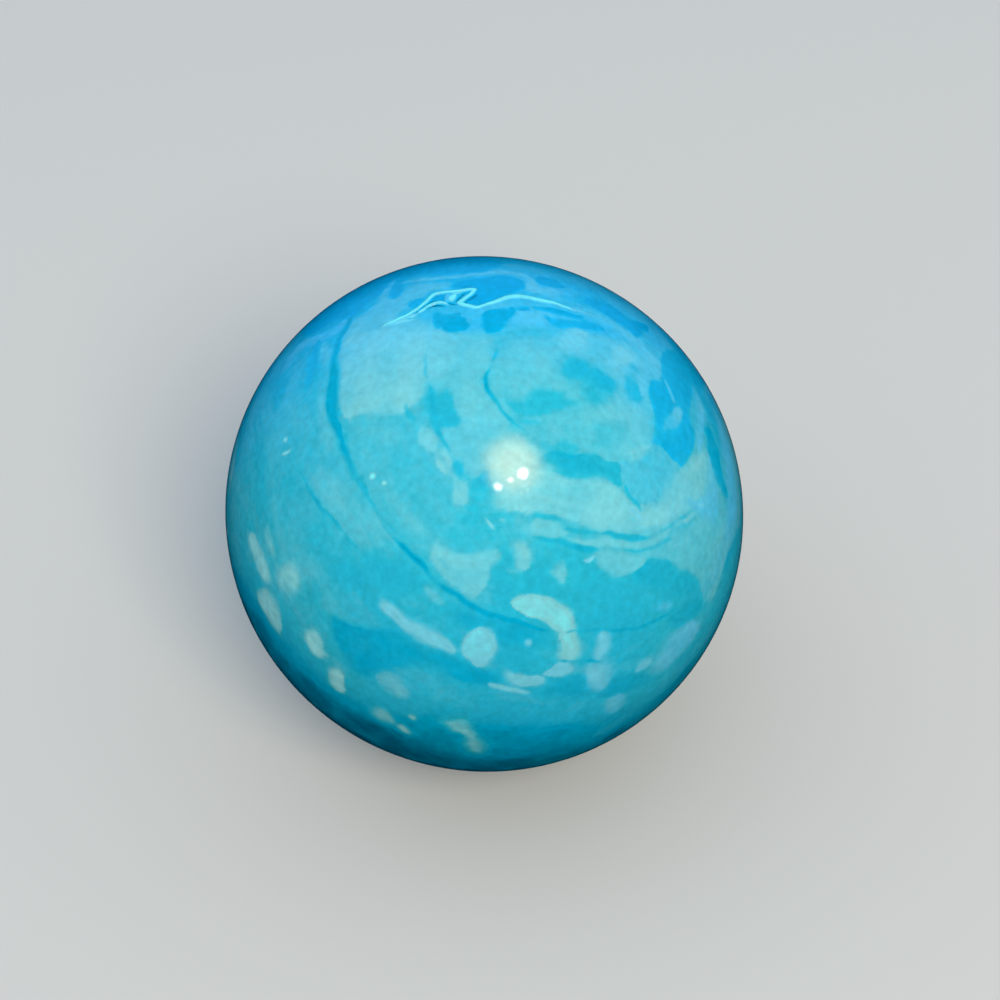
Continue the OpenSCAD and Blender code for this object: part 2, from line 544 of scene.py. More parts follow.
def draw_eye(ink):
    """The eye of the swirl: a pale disc with a mottled lens, held by a dark arc."""
    ink.patch(0.45, [
        (0.35, 5.8), (0.5, 6.8), (1.2, 7.6), (3.0, 7.9), (5.2, 8.0), (7.2, 7.6), (8.05, 7.1), (8.05, 6.3),
        (7.6, 5.9), (7.4, 5.2), (7.6, 4.4), (7.5, 3.4), (7.1, 2.6), (6.0, 2.3), (5.0, 2.35), (4.0, 2.6),
        (3.0, 2.8), (1.8, 3.5), (0.8, 4.4)], soft=0.35)
    ink.patch(0.55, [
        (0.7, 5.8), (0.8, 6.9), (1.6, 7.4), (2.9, 7.2), (3.1, 6.4), (2.7, 5.6), (1.6, 5.4)], soft=0.7)
    ink.patch(0.6, [
        (4.0, 4.1), (5.0, 4.7), (6.2, 4.8), (7.2, 4.6), (7.4, 3.6), (7.1, 2.8), (6.2, 2.6), (5.4, 3.1),
        (4.4, 3.5)], soft=0.6)
    ink.patch(0.25, [(4.6, 3.1), (4.8, 3.8), (5.6, 4.0), (6.3, 3.8), (6.3, 3.2), (5.5, 2.9)], soft=0.5)
    ink.patch(0.1, [
        (3.4, 6.2), (3.5, 6.8), (4.1, 6.95), (4.7, 6.75), (5.3, 6.4), (5.9, 5.8), (5.7, 5.1), (5.2, 4.8),
        (4.5, 4.9), (4.1, 5.4), (3.8, 5.9)], soft=0.6)
    ink.patch(-0.45, [
        (3.65, 6.2), (3.85, 6.75), (4.35, 6.75), (4.65, 6.35), (4.45, 6.05), (4.0, 6.0)], soft=0.32)
    ink.patch(-0.5, [
        (4.65, 6.15), (4.9, 6.4), (5.3, 6.15), (5.85, 5.75), (5.75, 5.45), (5.3, 5.5),
        (5.0, 5.75)], soft=0.28)
    ink.streak(-0.1, [0.2, 0.5, 0.3], [(4.4, 5.3), (4.9, 5.1), (5.4, 4.95)], soft=0.4)
    ink.patch(-0.1, [
        (6.35, 6.0), (6.7, 6.1), (7.0, 5.6), (7.05, 5.1), (6.8, 4.85), (6.5, 5.0),
        (6.35, 5.5)], soft=0.35, azure=0.4)
    ink.streak(0.0, [0.1, 0.3, 0.3, 0.1], [(6.2, 6.9), (6.7, 6.6), (7.0, 6.3), (7.1, 5.9)], soft=0.3)
    ink.patch(-0.05, [
        (0.95, 4.85), (1.5, 4.95), (2.0, 5.1), (2.4, 5.35), (2.9, 5.4), (3.5, 5.2), (4.0, 4.9), (3.4, 4.6),
        (2.8, 4.35), (2.2, 4.2), (1.6, 4.3), (1.2, 4.55)], soft=0.25)
    ink.streak(0.1, [0.1, 0.3, 0.2], [(1.1, 4.1), (1.9, 3.9), (2.6, 3.9)], soft=0.3)
    ink.patch(0.85, [
        (3.45, 7.4), (3.6, 8.05), (4.2, 8.25), (4.75, 8.05), (4.65, 7.5), (4.4, 7.15),
        (3.9, 7.2)], soft=0.3, azure=0.5)
    ink.patch(0.9, [
        (5.7, 6.8), (6.0, 7.35), (6.35, 7.5), (6.8, 7.2), (6.9, 6.8), (6.4, 6.6),
        (5.9, 6.55)], soft=0.28, azure=0.5)
    ink.patch(0.65, [
        (7.0, 5.3), (7.1, 6.4), (7.4, 7.4), (8.1, 6.9), (8.0, 6.2), (7.5, 5.85),
        (7.3, 5.3)], soft=0.3, azure=0.55)
    ink.streak(0.4, 0.34, [(0.48, 6.98), (0.54, 7.05)], soft=0.3, azure=0.35)
    ink.streak(-1.35, [0.04, 0.11, 0.09, 0.12, 0.14, 0.15, 0.13, 0.1, 0.08, 0.04], [
        (0.62, 7.3), (0.48, 6.95), (0.24, 6.4), (0.14, 5.95), (0.2, 5.5), (0.36, 5.05), (0.62, 4.6),
        (1.0, 4.15), (1.5, 3.75), (2.1, 3.35)], soft=0.13)
    ink.patch(0.1, [(2.9, 2.85), (3.3, 3.15), (3.9, 3.1), (4.2, 2.8), (3.8, 2.5), (3.2, 2.55)], soft=0.35)
    ink.patch(-0.42, [
        (2.4, 2.45), (3.0, 2.6), (3.6, 2.5), (4.3, 2.45), (4.9, 2.45), (5.3, 2.2), (5.95, 2.2),
        (5.95, 1.7), (6.0, 1.2), (5.7, 1.1), (5.0, 1.3), (4.2, 1.45), (3.4, 1.6),
        (2.8, 1.85)], soft=0.25, azure=0.0)
    ink.streak(-0.65, [0.05, 0.2, 0.22, 0.1, 0.14, 0.12, 0.05], [
        (2.5, 2.55), (3.1, 2.62), (3.8, 2.5), (4.6, 2.5), (5.4, 2.28), (6.1, 2.35), (6.9, 2.6)], soft=0.14)
    ink.streak(-0.5, [0.1, 0.5, 0.4, 0.1], [(3.2, 2.2), (4.0, 2.0), (4.8, 1.75), (5.6, 1.45)], soft=0.4)
    ink.streak(0.1, [0.1, 0.35, 0.3, 0.1], [(2.4, 2.1), (2.8, 2.1), (3.2, 1.95), (3.5, 1.8)], soft=0.3)
    ink.streak(0.85, [0.1, 0.28, 0.3, 0.12], [
        (6.2, 2.55), (6.7, 2.6), (7.15, 2.78), (7.45, 3.1)], soft=0.24)
    ink.streak(0.7, [0.1, 0.24, 0.24, 0.1], [
        (6.1, 2.25), (6.6, 2.3), (7.05, 2.45), (7.35, 2.7)], soft=0.22)


def draw_left_fields(ink):
    """The large pale field at the left of the eye, with its tulip-shaped deep mark."""
    ink.patch(0.55, [
        (-2.7, 8.1), (-1.4, 7.9), (0.0, 7.95), (0.5, 7.0), (0.15, 6.2), (0.1, 5.5), (0.5, 4.6), (1.1, 3.9),
        (0.7, 2.6), (0.5, 1.55), (-0.1, 1.4), (-0.8, 1.7), (-1.45, 2.4), (-1.8, 3.4), (-1.8, 4.4),
        (-2.4, 5.4)], soft=0.4)
    ink.patch(0.6, [
        (-6.3, 7.6), (-6.1, 8.4), (-5.5, 9.0), (-4.4, 9.0), (-3.2, 8.8), (-2.4, 8.6), (-2.2, 8.0),
        (-3.4, 7.6), (-5.0, 7.5)], soft=0.6, azure=0.5)
    ink.patch(0.88, [
        (-6.4, 7.2), (-6.25, 7.8), (-5.8, 8.2), (-4.8, 8.2), (-3.8, 8.3), (-2.7, 8.1), (-2.5, 7.4),
        (-2.5, 6.2), (-2.7, 5.2), (-3.2, 4.75), (-3.5, 4.45), (-4.2, 4.35), (-5.2, 4.3), (-6.0, 4.2),
        (-6.3, 5.0), (-6.35, 6.0)], soft=0.25)
    ink.patch(0.7, [
        (-2.7, 8.0), (-1.6, 8.0), (-1.3, 7.0), (-1.5, 6.0), (-2.3, 5.6), (-2.7, 6.6)], soft=0.5)
    ink.streak(0.1, [0.05, 0.14, 0.16, 0.1], [
        (-2.35, 7.9), (-2.45, 7.2), (-2.48, 6.4), (-2.4, 5.7)], soft=0.14)
    ink.patch(0.12, [
        (-5.9, 4.1), (-3.6, 4.3), (-2.7, 3.9), (-2.2, 3.0), (-1.8, 1.8), (-1.4, 0.6), (-2.0, -1.0),
        (-3.2, -1.2), (-4.4, 0.6), (-5.4, 2.4)], soft=0.35)
    ink.streak(0.28, [0.2, 0.8, 0.7, 0.3], [(-5.0, 3.9), (-4.4, 3.5), (-3.8, 3.2), (-3.2, 2.6)], soft=0.5)
    ink.patch(-0.15, [
        (-2.5, 5.0), (-2.35, 5.65), (-2.1, 5.3), (-1.9, 5.3), (-1.6, 5.35), (-1.3, 4.9), (-1.15, 4.4),
        (-0.95, 4.0), (-1.3, 3.7), (-2.0, 3.75), (-2.25, 4.3)], soft=0.28)
    ink.streak(-0.4, [0.08, 0.22, 0.18], [(-2.35, 5.55), (-2.2, 4.8), (-2.0, 4.0)], soft=0.14)
    ink.streak(-0.3, [0.2, 0.17, 0.13, 0.11, 0.04], [
        (-2.08, 4.2), (-1.92, 3.6), (-1.74, 3.1), (-1.5, 2.7), (-1.3, 2.4)], soft=0.12)
    ink.streak(-0.1, [0.05, 0.2, 0.3, 0.15], [
        (-3.35, 4.95), (-3.35, 4.6), (-3.2, 4.3), (-2.8, 4.1)], soft=0.16)


def draw_middle(ink):
    """The pale glass in the middle, tinted cream round the lamps' highlight as a painted warm reflection,
    and the small streaks and deep spots left of it.
    """
    # The first two patches: pale milk glass, tinted cream as a painted warm reflection of the lamp glow
    # round the highlight.
    ink.patch(0.7, [
        (0.2, 2.9), (0.8, 3.5), (1.7, 3.2), (2.3, 2.8), (2.7, 2.2), (2.8, 1.4), (2.4, 0.8), (1.8, 0.5),
        (1.2, 0.5), (0.7, 0.8), (0.45, 1.4), (0.2, 2.1)], soft=0.9, azure=-0.6)
    ink.patch(0.8, [
        (0.4, 0.5), (0.6, 1.2), (1.6, 1.6), (2.6, 1.6), (3.6, 1.2), (3.6, 0.2), (2.6, 0.1), (1.6, 0.1),
        (0.9, 0.2)], soft=0.5, azure=-0.3)
    ink.patch(0.75, [
        (-2.9, 3.2), (-2.7, 3.75), (-2.25, 3.7), (-2.0, 3.3), (-2.1, 2.9), (-2.5, 2.75)], soft=0.2)
    ink.patch(1.1, [
        (-2.05, 2.2), (-1.95, 2.65), (-1.65, 2.65), (-1.4, 2.3), (-1.4, 1.9), (-1.7, 1.75),
        (-1.95, 1.9)], soft=0.2)
    ink.patch(0.8, [
        (-1.35, 0.9), (-1.2, 1.35), (-0.85, 1.4), (-0.55, 1.0), (-0.5, 0.6), (-0.75, 0.3), (-1.15, 0.35),
        (-1.35, 0.6)], soft=0.3)
    ink.streak(0.6, [0.3, 0.22, 0.3, 0.2, 0.3], [
        (-2.4, 3.1), (-2.05, 2.75), (-1.75, 2.3), (-1.45, 1.7), (-1.1, 1.1)], soft=0.2)
    ink.patch(-0.15, [
        (-1.34, 2.0), (-1.22, 2.24), (-0.98, 2.22), (-0.86, 1.95), (-0.95, 1.74),
        (-1.18, 1.76)], soft=0.4, azure=0.15)
    ink.patch(-0.15, [
        (-0.26, 1.5), (-0.12, 1.88), (0.06, 1.9), (0.2, 1.7), (0.12, 1.4),
        (-0.1, 1.3)], soft=0.4, azure=0.12)
    ink.patch(0.12, [
        (-0.6, 1.1), (-0.2, 1.3), (0.3, 1.2), (0.45, 0.6), (0.1, 0.3), (-0.45, 0.4)], soft=0.35)
    ink.patch(0.05, [
        (-1.45, -0.5), (-1.25, 0.0), (-0.75, 0.25), (0.2, 0.25), (0.85, -0.25), (1.1, -1.0), (0.6, -1.45),
        (-0.4, -1.62), (-1.1, -1.55), (-1.5, -1.1)], soft=0.22, strength=0.85)
    ink.streak(0.4, [0.2, 0.5, 0.3], [(1.2, -0.4), (1.6, -0.6), (2.0, -1.0)], soft=0.4)
    ink.patch(0.72, [
        (-2.3, -1.6), (-2.1, -1.25), (-1.8, -1.35), (-1.4, -1.6), (-0.9, -1.75), (-0.3, -1.65),
        (0.3, -1.55), (0.6, -1.75), (0.4, -2.0), (0.2, -2.3), (0.1, -2.9), (-0.1, -3.3), (-0.6, -3.6),
        (-1.2, -3.3), (-1.7, -2.9), (-2.1, -2.4), (-2.35, -2.0)], soft=0.25)
    ink.streak(0.4, [0.08, 0.2, 0.2, 0.08], [
        (-2.2, -1.7), (-1.8, -2.1), (-1.4, -2.5), (-1.0, -2.9)], soft=0.18)
    ink.patch(0.95, [
        (1.28, -1.36), (1.6, -1.24), (1.88, -1.45), (2.03, -1.85), (2.0, -2.32), (1.74, -2.5),
        (1.46, -2.35), (1.4, -1.95), (1.3, -1.65)], soft=0.32)
    ink.streak(0.2, [0.1, 0.22, 0.1], [(0.9, -2.35), (1.3, -2.45), (1.7, -2.5)], soft=0.2)
    ink.patch(0.8, [
        (3.1, -2.35), (3.4, -2.3), (3.5, -2.6), (3.42, -2.85), (3.3, -3.1), (3.1, -2.9), (2.85, -2.65),
        (3.0, -2.5)], soft=0.22)
    ink.streak(1.25, [0.04, 0.11, 0.11, 0.04], [
        (-0.05, -0.2), (0.15, -0.4), (0.35, -0.6), (0.6, -0.85)], soft=0.1)
    ink.streak(0.9, [0.05, 0.14, 0.05], [(0.6, -0.2), (0.75, -0.25), (0.85, -0.35)], soft=0.1)


def draw_band(ink):
    """The wide pale band under the eye, the lines that trail it and the scalloped edge below them."""
    ink.patch(0.5, [
        (5.0, -0.9), (4.8, -1.9), (5.0, -2.3), (5.5, -2.65), (6.2, -2.8), (6.6, -2.55), (6.85, -2.1),
        (7.2, -1.95), (7.8, -2.1), (8.4, -2.3), (8.7, -2.6), (9.3, -2.75), (9.7, -3.1), (9.85, -3.7),
        (10.3, -3.9), (10.8, -3.2), (11.3, -1.5), (11.2, 0.2), (10.6, 1.2), (10.2, 2.9), (9.6, 2.7),
        (8.6, 1.4), (7.6, 0.2), (6.2, -0.6)], soft=0.25)
    ink.patch(0.7, [
        (5.0, -2.05), (5.6, -1.85), (6.4, -1.9), (6.95, -1.95), (6.6, -2.5), (6.1, -2.75),
        (5.5, -2.6)], soft=0.3)
    ink.patch(-0.45, [
        (6.85, -2.22), (7.2, -2.08), (7.7, -2.16), (8.2, -2.34), (8.6, -2.68), (9.2, -2.9), (9.6, -3.25),
        (9.2, -3.7), (8.2, -3.7), (7.1, -3.3), (6.5, -2.95)], soft=0.3)
    ink.patch(0.78, [
        (2.3, 2.0), (2.9, 1.8), (3.5, 1.6), (4.3, 1.45), (5.1, 1.33), (5.7, 1.12), (6.0, 0.9), (6.3, 0.55),
        (6.55, 0.3), (6.9, 0.32), (7.4, 0.4), (7.8, 0.6), (8.1, 1.0), (8.5, 1.5), (9.0, 2.0), (9.6, 2.5),
        (10.1, 2.7), (10.15, 1.8), (9.9, 0.9), (9.3, 0.2), (8.8, -0.15), (8.2, -0.4), (7.5, -0.55),
        (6.9, -0.7), (6.2, -0.8), (5.5, -0.85), (4.9, -0.75), (4.2, -0.5), (3.6, -0.3), (2.9, -0.1),
        (2.0, 0.0), (1.3, 0.2), (1.2, 0.9), (1.6, 1.6)], soft=0.24)
    ink.patch(1.0, [(4.4, 0.2), (5.0, 0.9), (5.9, 0.4), (6.2, -0.4), (5.6, -0.75), (4.7, -0.5)], soft=0.7)
    ink.patch(0.65, [(2.2, 0.9), (3.2, 1.2), (4.0, 0.9), (3.9, 0.1), (2.8, 0.0), (2.0, 0.3)], soft=0.8)
    ink.patch(1.05, [
        (6.8, -0.1), (7.5, 0.25), (8.2, 0.3), (8.4, -0.1), (7.6, -0.5), (6.9, -0.5)], soft=0.4)
    ink.patch(0.6, [
        (9.0, 0.4), (9.8, 0.6), (10.2, 1.6), (10.3, 2.6), (10.7, 1.0), (10.5, -0.4)], soft=0.5, azure=0.5)
    ink.streak(0.95, [0.1, 0.3, 0.3, 0.1], [(8.9, 1.3), (9.3, 1.7), (9.7, 2.2), (9.95, 2.6)], soft=0.25)
    ink.streak(-0.35, [0.1, 0.15, 0.13, 0.12, 0.11, 0.04], [
        (5.98, 2.15), (6.02, 1.6), (6.22, 1.0), (6.5, 0.5), (6.75, 0.15), (7.0, -0.2)], soft=0.1)
    ink.streak(1.1, [0.04, 0.07, 0.09, 0.05], [
        (8.05, -1.85), (8.45, -1.64), (8.85, -1.4), (9.2, -1.18)], soft=0.1, azure=0.3)
    ink.streak(1.4, [0.04, 0.17, 0.22, 0.2, 0.06], [
        (6.2, 0.3), (6.42, 0.12), (6.6, -0.05), (6.76, -0.22), (6.95, -0.4)], soft=0.16, azure=0.4)
    ink.streak(-0.5, [0.05, 0.22, 0.27, 0.2, 0.06], [
        (4.8, -0.9), (5.5, -0.99), (6.2, -1.06), (6.8, -1.07), (7.6, -0.97)], soft=0.18)
    ink.streak(-0.1, [0.05, 0.1, 0.12, 0.11, 0.04], [
        (7.0, -0.98), (7.8, -0.82), (8.4, -0.55), (9.0, -0.2), (9.5, 0.1)], soft=0.12)
    ink.streak(1.0, [0.05, 0.13, 0.14, 0.05], [
        (7.5, -1.02), (8.3, -0.8), (8.9, -0.45), (9.5, 0.0)], soft=0.1)
    ink.streak(-0.05, [0.04, 0.1, 0.12, 0.08], [
        (7.4, -1.2), (8.3, -0.98), (9.0, -0.65), (9.5, -0.2)], soft=0.12)
    ink.patch(0.6, [
        (1.95, -0.75), (2.15, -0.3), (2.6, -0.28), (3.2, -0.5), (3.6, -0.8), (3.2, -1.05),
        (2.5, -1.0)], soft=0.25)
    ink.streak(-0.35, [0.1, 0.26, 0.24, 0.1], [
        (2.0, 0.0), (2.35, -0.1), (2.7, -0.2), (3.2, -0.28)], soft=0.2)
    ink.streak(-0.15, [0.06, 0.2, 0.22, 0.1], [
        (3.1, -0.6), (3.6, -0.72), (4.1, -0.8), (4.9, -0.86)], soft=0.18)
    ink.streak(0.7, [0.1, 0.25, 0.3, 0.26, 0.2, 0.1], [
        (3.4, -1.05), (4.2, -1.3), (5.4, -1.38), (6.6, -1.38), (7.6, -1.2), (8.5, -0.9)], soft=0.16)
    ink.streak(-0.75, [0.05, 0.18, 0.28, 0.28, 0.06], [
        (2.1, -0.92), (2.9, -1.18), (3.7, -1.42), (4.4, -1.6), (5.0, -1.68)], soft=0.15)
    ink.streak(0.08, [0.06, 0.12, 0.15, 0.15, 0.12, 0.05], [
        (4.8, -1.7), (5.8, -1.68), (6.8, -1.62), (7.8, -1.42), (8.6, -1.1), (9.3, -0.6)], soft=0.14)
    ink.streak(0.9, [0.05, 0.13, 0.14, 0.05], [
        (8.1, -1.85), (8.5, -1.62), (8.9, -1.38), (9.3, -1.15)], soft=0.1)
    ink.streak(1.6, [0.05, 0.16, 0.15, 0.04], [
        (4.15, -2.12), (4.4, -2.07), (4.62, -1.98), (4.8, -1.88)], soft=0.12, azure=0.5)
    ink.streak(0.95, [0.06, 0.15, 0.06], [(9.5, 0.3), (9.8, 0.33), (10.0, 0.45)], soft=0.12)


def draw_sweep(ink):
    """The long dark line that runs down the left of the face and under the hook, and its wisps."""
    ink.streak(-0.6, [0.2, 0.4, 0.45, 0.2], [
        (-7.5, 7.9), (-7.6, 7.4), (-7.7, 6.7), (-7.8, 5.8)], soft=0.3, azure=0.8)
    ink.streak(0.45, [0.3, 0.5, 0.45, 0.2], [
        (-7.2, 7.8), (-7.1, 7.45), (-7.1, 7.05), (-7.2, 6.6)], soft=0.22)
    ink.streak(0.4, [0.1, 0.4, 0.45, 0.4, 0.2], [
        (-7.35, 6.0), (-7.25, 5.0), (-7.15, 4.2), (-6.95, 3.4), (-6.6, 2.7)], soft=0.3)
    ink.streak(0.45, [0.2, 0.5, 0.45, 0.2], [(-8.8, 4.8), (-8.6, 4.4), (-8.3, 4.1), (-7.9, 3.8)], soft=0.4)
    ink.streak(-0.15, [0.3, 0.8, 0.4], [(-9.2, 6.6), (-9.2, 5.8), (-9.5, 4.8)], soft=0.6)
    ink.streak(-0.1, [0.3, 0.8, 0.9, 0.5], [
        (-10.2, 3.6), (-10.3, 2.4), (-10.1, 1.0), (-9.6, -0.4)], soft=0.6)
    ink.patch(0.35, [
        (-7.4, 2.2), (-6.9, 2.0), (-6.4, 1.7), (-5.9, 1.2), (-5.4, 0.6), (-4.7, -0.2), (-4.3, -1.0),
        (-5.0, -1.4), (-5.7, -1.2), (-6.5, -0.4), (-7.2, 0.6), (-7.6, 1.4)], soft=0.35)
    ink.streak(0.55, [0.2, 0.45, 0.5, 0.3], [(-7.1, 1.8), (-6.7, 1.3), (-6.4, 0.7), (-6.0, 0.2)], soft=0.4)
    ink.streak(-0.65, [0.04, 0.1, 0.17, 0.16, 0.11, 0.09, 0.04], [
        (-8.2, 1.9), (-7.75, 1.1), (-7.3, 0.4), (-6.8, -0.15), (-6.25, -0.8), (-5.7, -1.4),
        (-5.0, -2.1)], soft=0.15)
    ink.streak(0.55, [0.1, 0.35, 0.45, 0.35, 0.15], [
        (-4.5, 1.2), (-4.0, 0.7), (-3.4, 0.0), (-2.9, -0.6), (-2.5, -1.1)], soft=0.25)
    ink.streak(0.0, [0.05, 0.12, 0.14, 0.14, 0.05], [
        (-4.9, 0.6), (-4.5, 0.0), (-4.0, -0.5), (-3.4, -1.0), (-2.8, -1.5)], soft=0.13)
    ink.streak(0.35, [0.1, 0.22, 0.25, 0.15], [
        (-5.2, 0.4), (-4.6, -0.3), (-4.1, -0.9), (-3.5, -1.6)], soft=0.2)
    ink.patch(-0.3, [
        (-5.2, -1.9), (-4.0, -1.9), (-3.0, -2.5), (-2.4, -3.2), (-3.4, -3.3), (-4.6, -2.9)], soft=0.6)
    ink.patch(-0.25, [(-6.5, -2.4), (-5.8, -2.1), (-5.2, -2.5), (-5.4, -3.0), (-6.2, -2.9)], soft=0.5)
    ink.streak(-1.0, [0.25, 0.34, 0.32, 0.28, 0.2], [
        (-6.0, 9.0), (-6.2, 8.5), (-6.5, 8.0), (-6.65, 7.3), (-6.7, 6.8)], soft=0.18, azure=0.5)
    ink.streak(-1.25, [0.24, 0.46, 0.6, 0.5, 0.32, 0.26, 0.22, 0.2, 0.14], [
        (-6.68, 7.1), (-6.72, 6.2), (-6.75, 5.2), (-6.62, 4.3), (-6.37, 3.5), (-6.12, 2.9), (-5.8, 2.2),
        (-5.45, 1.55), (-5.1, 0.95)], soft=0.18, azure=0.05)
    ink.streak(-0.25, [0.12, 0.09, 0.08, 0.08, 0.1], [
        (-5.1, 0.95), (-4.8, 0.4), (-4.5, -0.15), (-4.2, -0.6), (-3.9, -1.0)], soft=0.14)
    ink.streak(-1.35, [0.06, 0.24, 0.28, 0.3, 0.22, 0.12], [
        (-1.9, -3.1), (-1.2, -3.6), (-0.4, -4.1), (0.6, -4.5), (1.8, -4.85), (3.0, -5.1)], soft=0.16)
    ink.streak(-1.75, [0.08, 0.16, 0.22, 0.25, 0.24, 0.2, 0.06], [
        (-3.9, -1.0), (-3.5, -1.45), (-3.0, -2.0), (-2.5, -2.5), (-1.9, -3.1), (-1.2, -3.6),
        (-0.5, -4.05)], soft=0.14)
    ink.streak(-0.75, [0.1, 0.5, 1.0, 1.1, 0.9, 0.4], [
        (-2.0, -3.6), (-1.2, -4.2), (-0.2, -4.8), (1.0, -5.2), (2.2, -5.5), (3.1, -5.6)], soft=0.5)
    ink.streak(-0.8, [0.08, 0.13, 0.15, 0.15, 0.15, 0.12, 0.04], [
        (4.1, -5.18), (5.0, -5.15), (6.0, -5.12), (7.0, -4.98), (7.9, -4.65), (8.7, -4.25),
        (9.5, -3.85)], soft=0.14)
    ink.patch(-0.6, [
        (8.2, -4.8), (8.9, -4.2), (9.6, -3.9), (9.9, -4.2), (9.4, -4.8), (8.8, -5.2)], soft=0.4)


def draw_low_fields(ink):
    """The deep bands and veils low on the face, and painted shade that darkens the glass towards its
    bottom edge and round its lower left rim.
    """
    ink.patch(0.05, [
        (-8.0, -3.6), (-7.2, -4.4), (-6.6, -4.55), (-6.0, -4.8), (-5.4, -4.95), (-4.7, -4.95),
        (-4.2, -4.9), (-4.4, -4.2), (-5.0, -3.5), (-6.2, -3.2), (-7.2, -3.2)], soft=0.3)
    ink.streak(-1.5, [0.05, 0.14, 0.15, 0.12, 0.06], [
        (-6.8, -4.5), (-6.2, -4.85), (-5.6, -5.08), (-5.0, -5.12), (-4.2, -5.1)], soft=0.16)
    ink.patch(-0.85, [
        (-6.8, -4.5), (-6.2, -4.8), (-5.5, -5.0), (-4.6, -5.02), (-3.9, -5.15), (-3.2, -5.5), (-2.6, -5.9),
        (-2.0, -6.1), (-1.3, -6.3), (-0.6, -6.6), (0.2, -6.9), (0.7, -7.2), (0.2, -7.5), (-0.8, -7.4),
        (-1.6, -7.1), (-2.4, -6.75), (-3.4, -6.7), (-4.4, -7.0), (-5.2, -7.3), (-6.0, -6.9), (-6.6, -6.0),
        (-6.9, -5.2)], soft=0.4)
    ink.patch(-0.6, [
        (2.6, -7.75), (3.2, -7.4), (3.9, -7.15), (4.8, -7.15), (5.8, -7.2), (7.0, -7.3), (7.7, -7.6),
        (6.8, -8.0), (5.4, -8.25), (3.8, -8.2), (2.4, -8.05)], soft=0.4)
    ink.patch(-0.05, [
        (0.4, -6.0), (1.4, -5.9), (2.6, -6.0), (3.2, -6.2), (2.8, -6.7), (1.8, -6.9),
        (0.8, -6.8)], soft=0.35)
    ink.patch(0.05, [
        (-3.4, -6.8), (-2.2, -6.9), (-1.2, -7.5), (0.4, -7.8), (2.4, -8.2), (4.6, -8.5), (4.6, -9.3),
        (2.0, -9.3), (-0.6, -9.0), (-2.6, -8.4), (-3.6, -7.6)], soft=0.5)
    # Painted shade: the last three marks darken the glass towards the bottom edge and round the lower left
    # rim.
    ink.patch(-1.6, [
        (-5.6, -9.6), (-3.6, -9.4), (-1.6, -9.2), (0.6, -9.6), (3.2, -9.6), (5.0, -9.8), (4.0, -11.0),
        (0.6, -11.9), (-3.6, -11.4)], soft=1.2)
    ink.streak(-1.6, [0.6, 2.2, 3.0, 3.4, 3.4, 3.2, 2.4, 0.8], [
        (-11.0, -2.6), (-10.0, -5.2), (-8.4, -7.6), (-6.4, -9.2), (-3.6, -10.2), (0.0, -10.6),
        (3.6, -10.2), (6.2, -9.2)], soft=2.2, strength=0.7)
    ink.streak(-2.3, [0.8, 3.2, 4.8, 5.6, 5.4, 4.4, 3.2, 2.2, 1.4, 0.5], [
        (-12.1, -2.4), (-11.2, -4.6), (-9.7, -7.1), (-7.7, -9.2), (-5.2, -10.75), (-2.2, -11.75),
        (1.2, -11.95), (5.0, -10.9), (8.0, -8.95), (9.8, -6.9)], soft=1.7, strength=0.8)


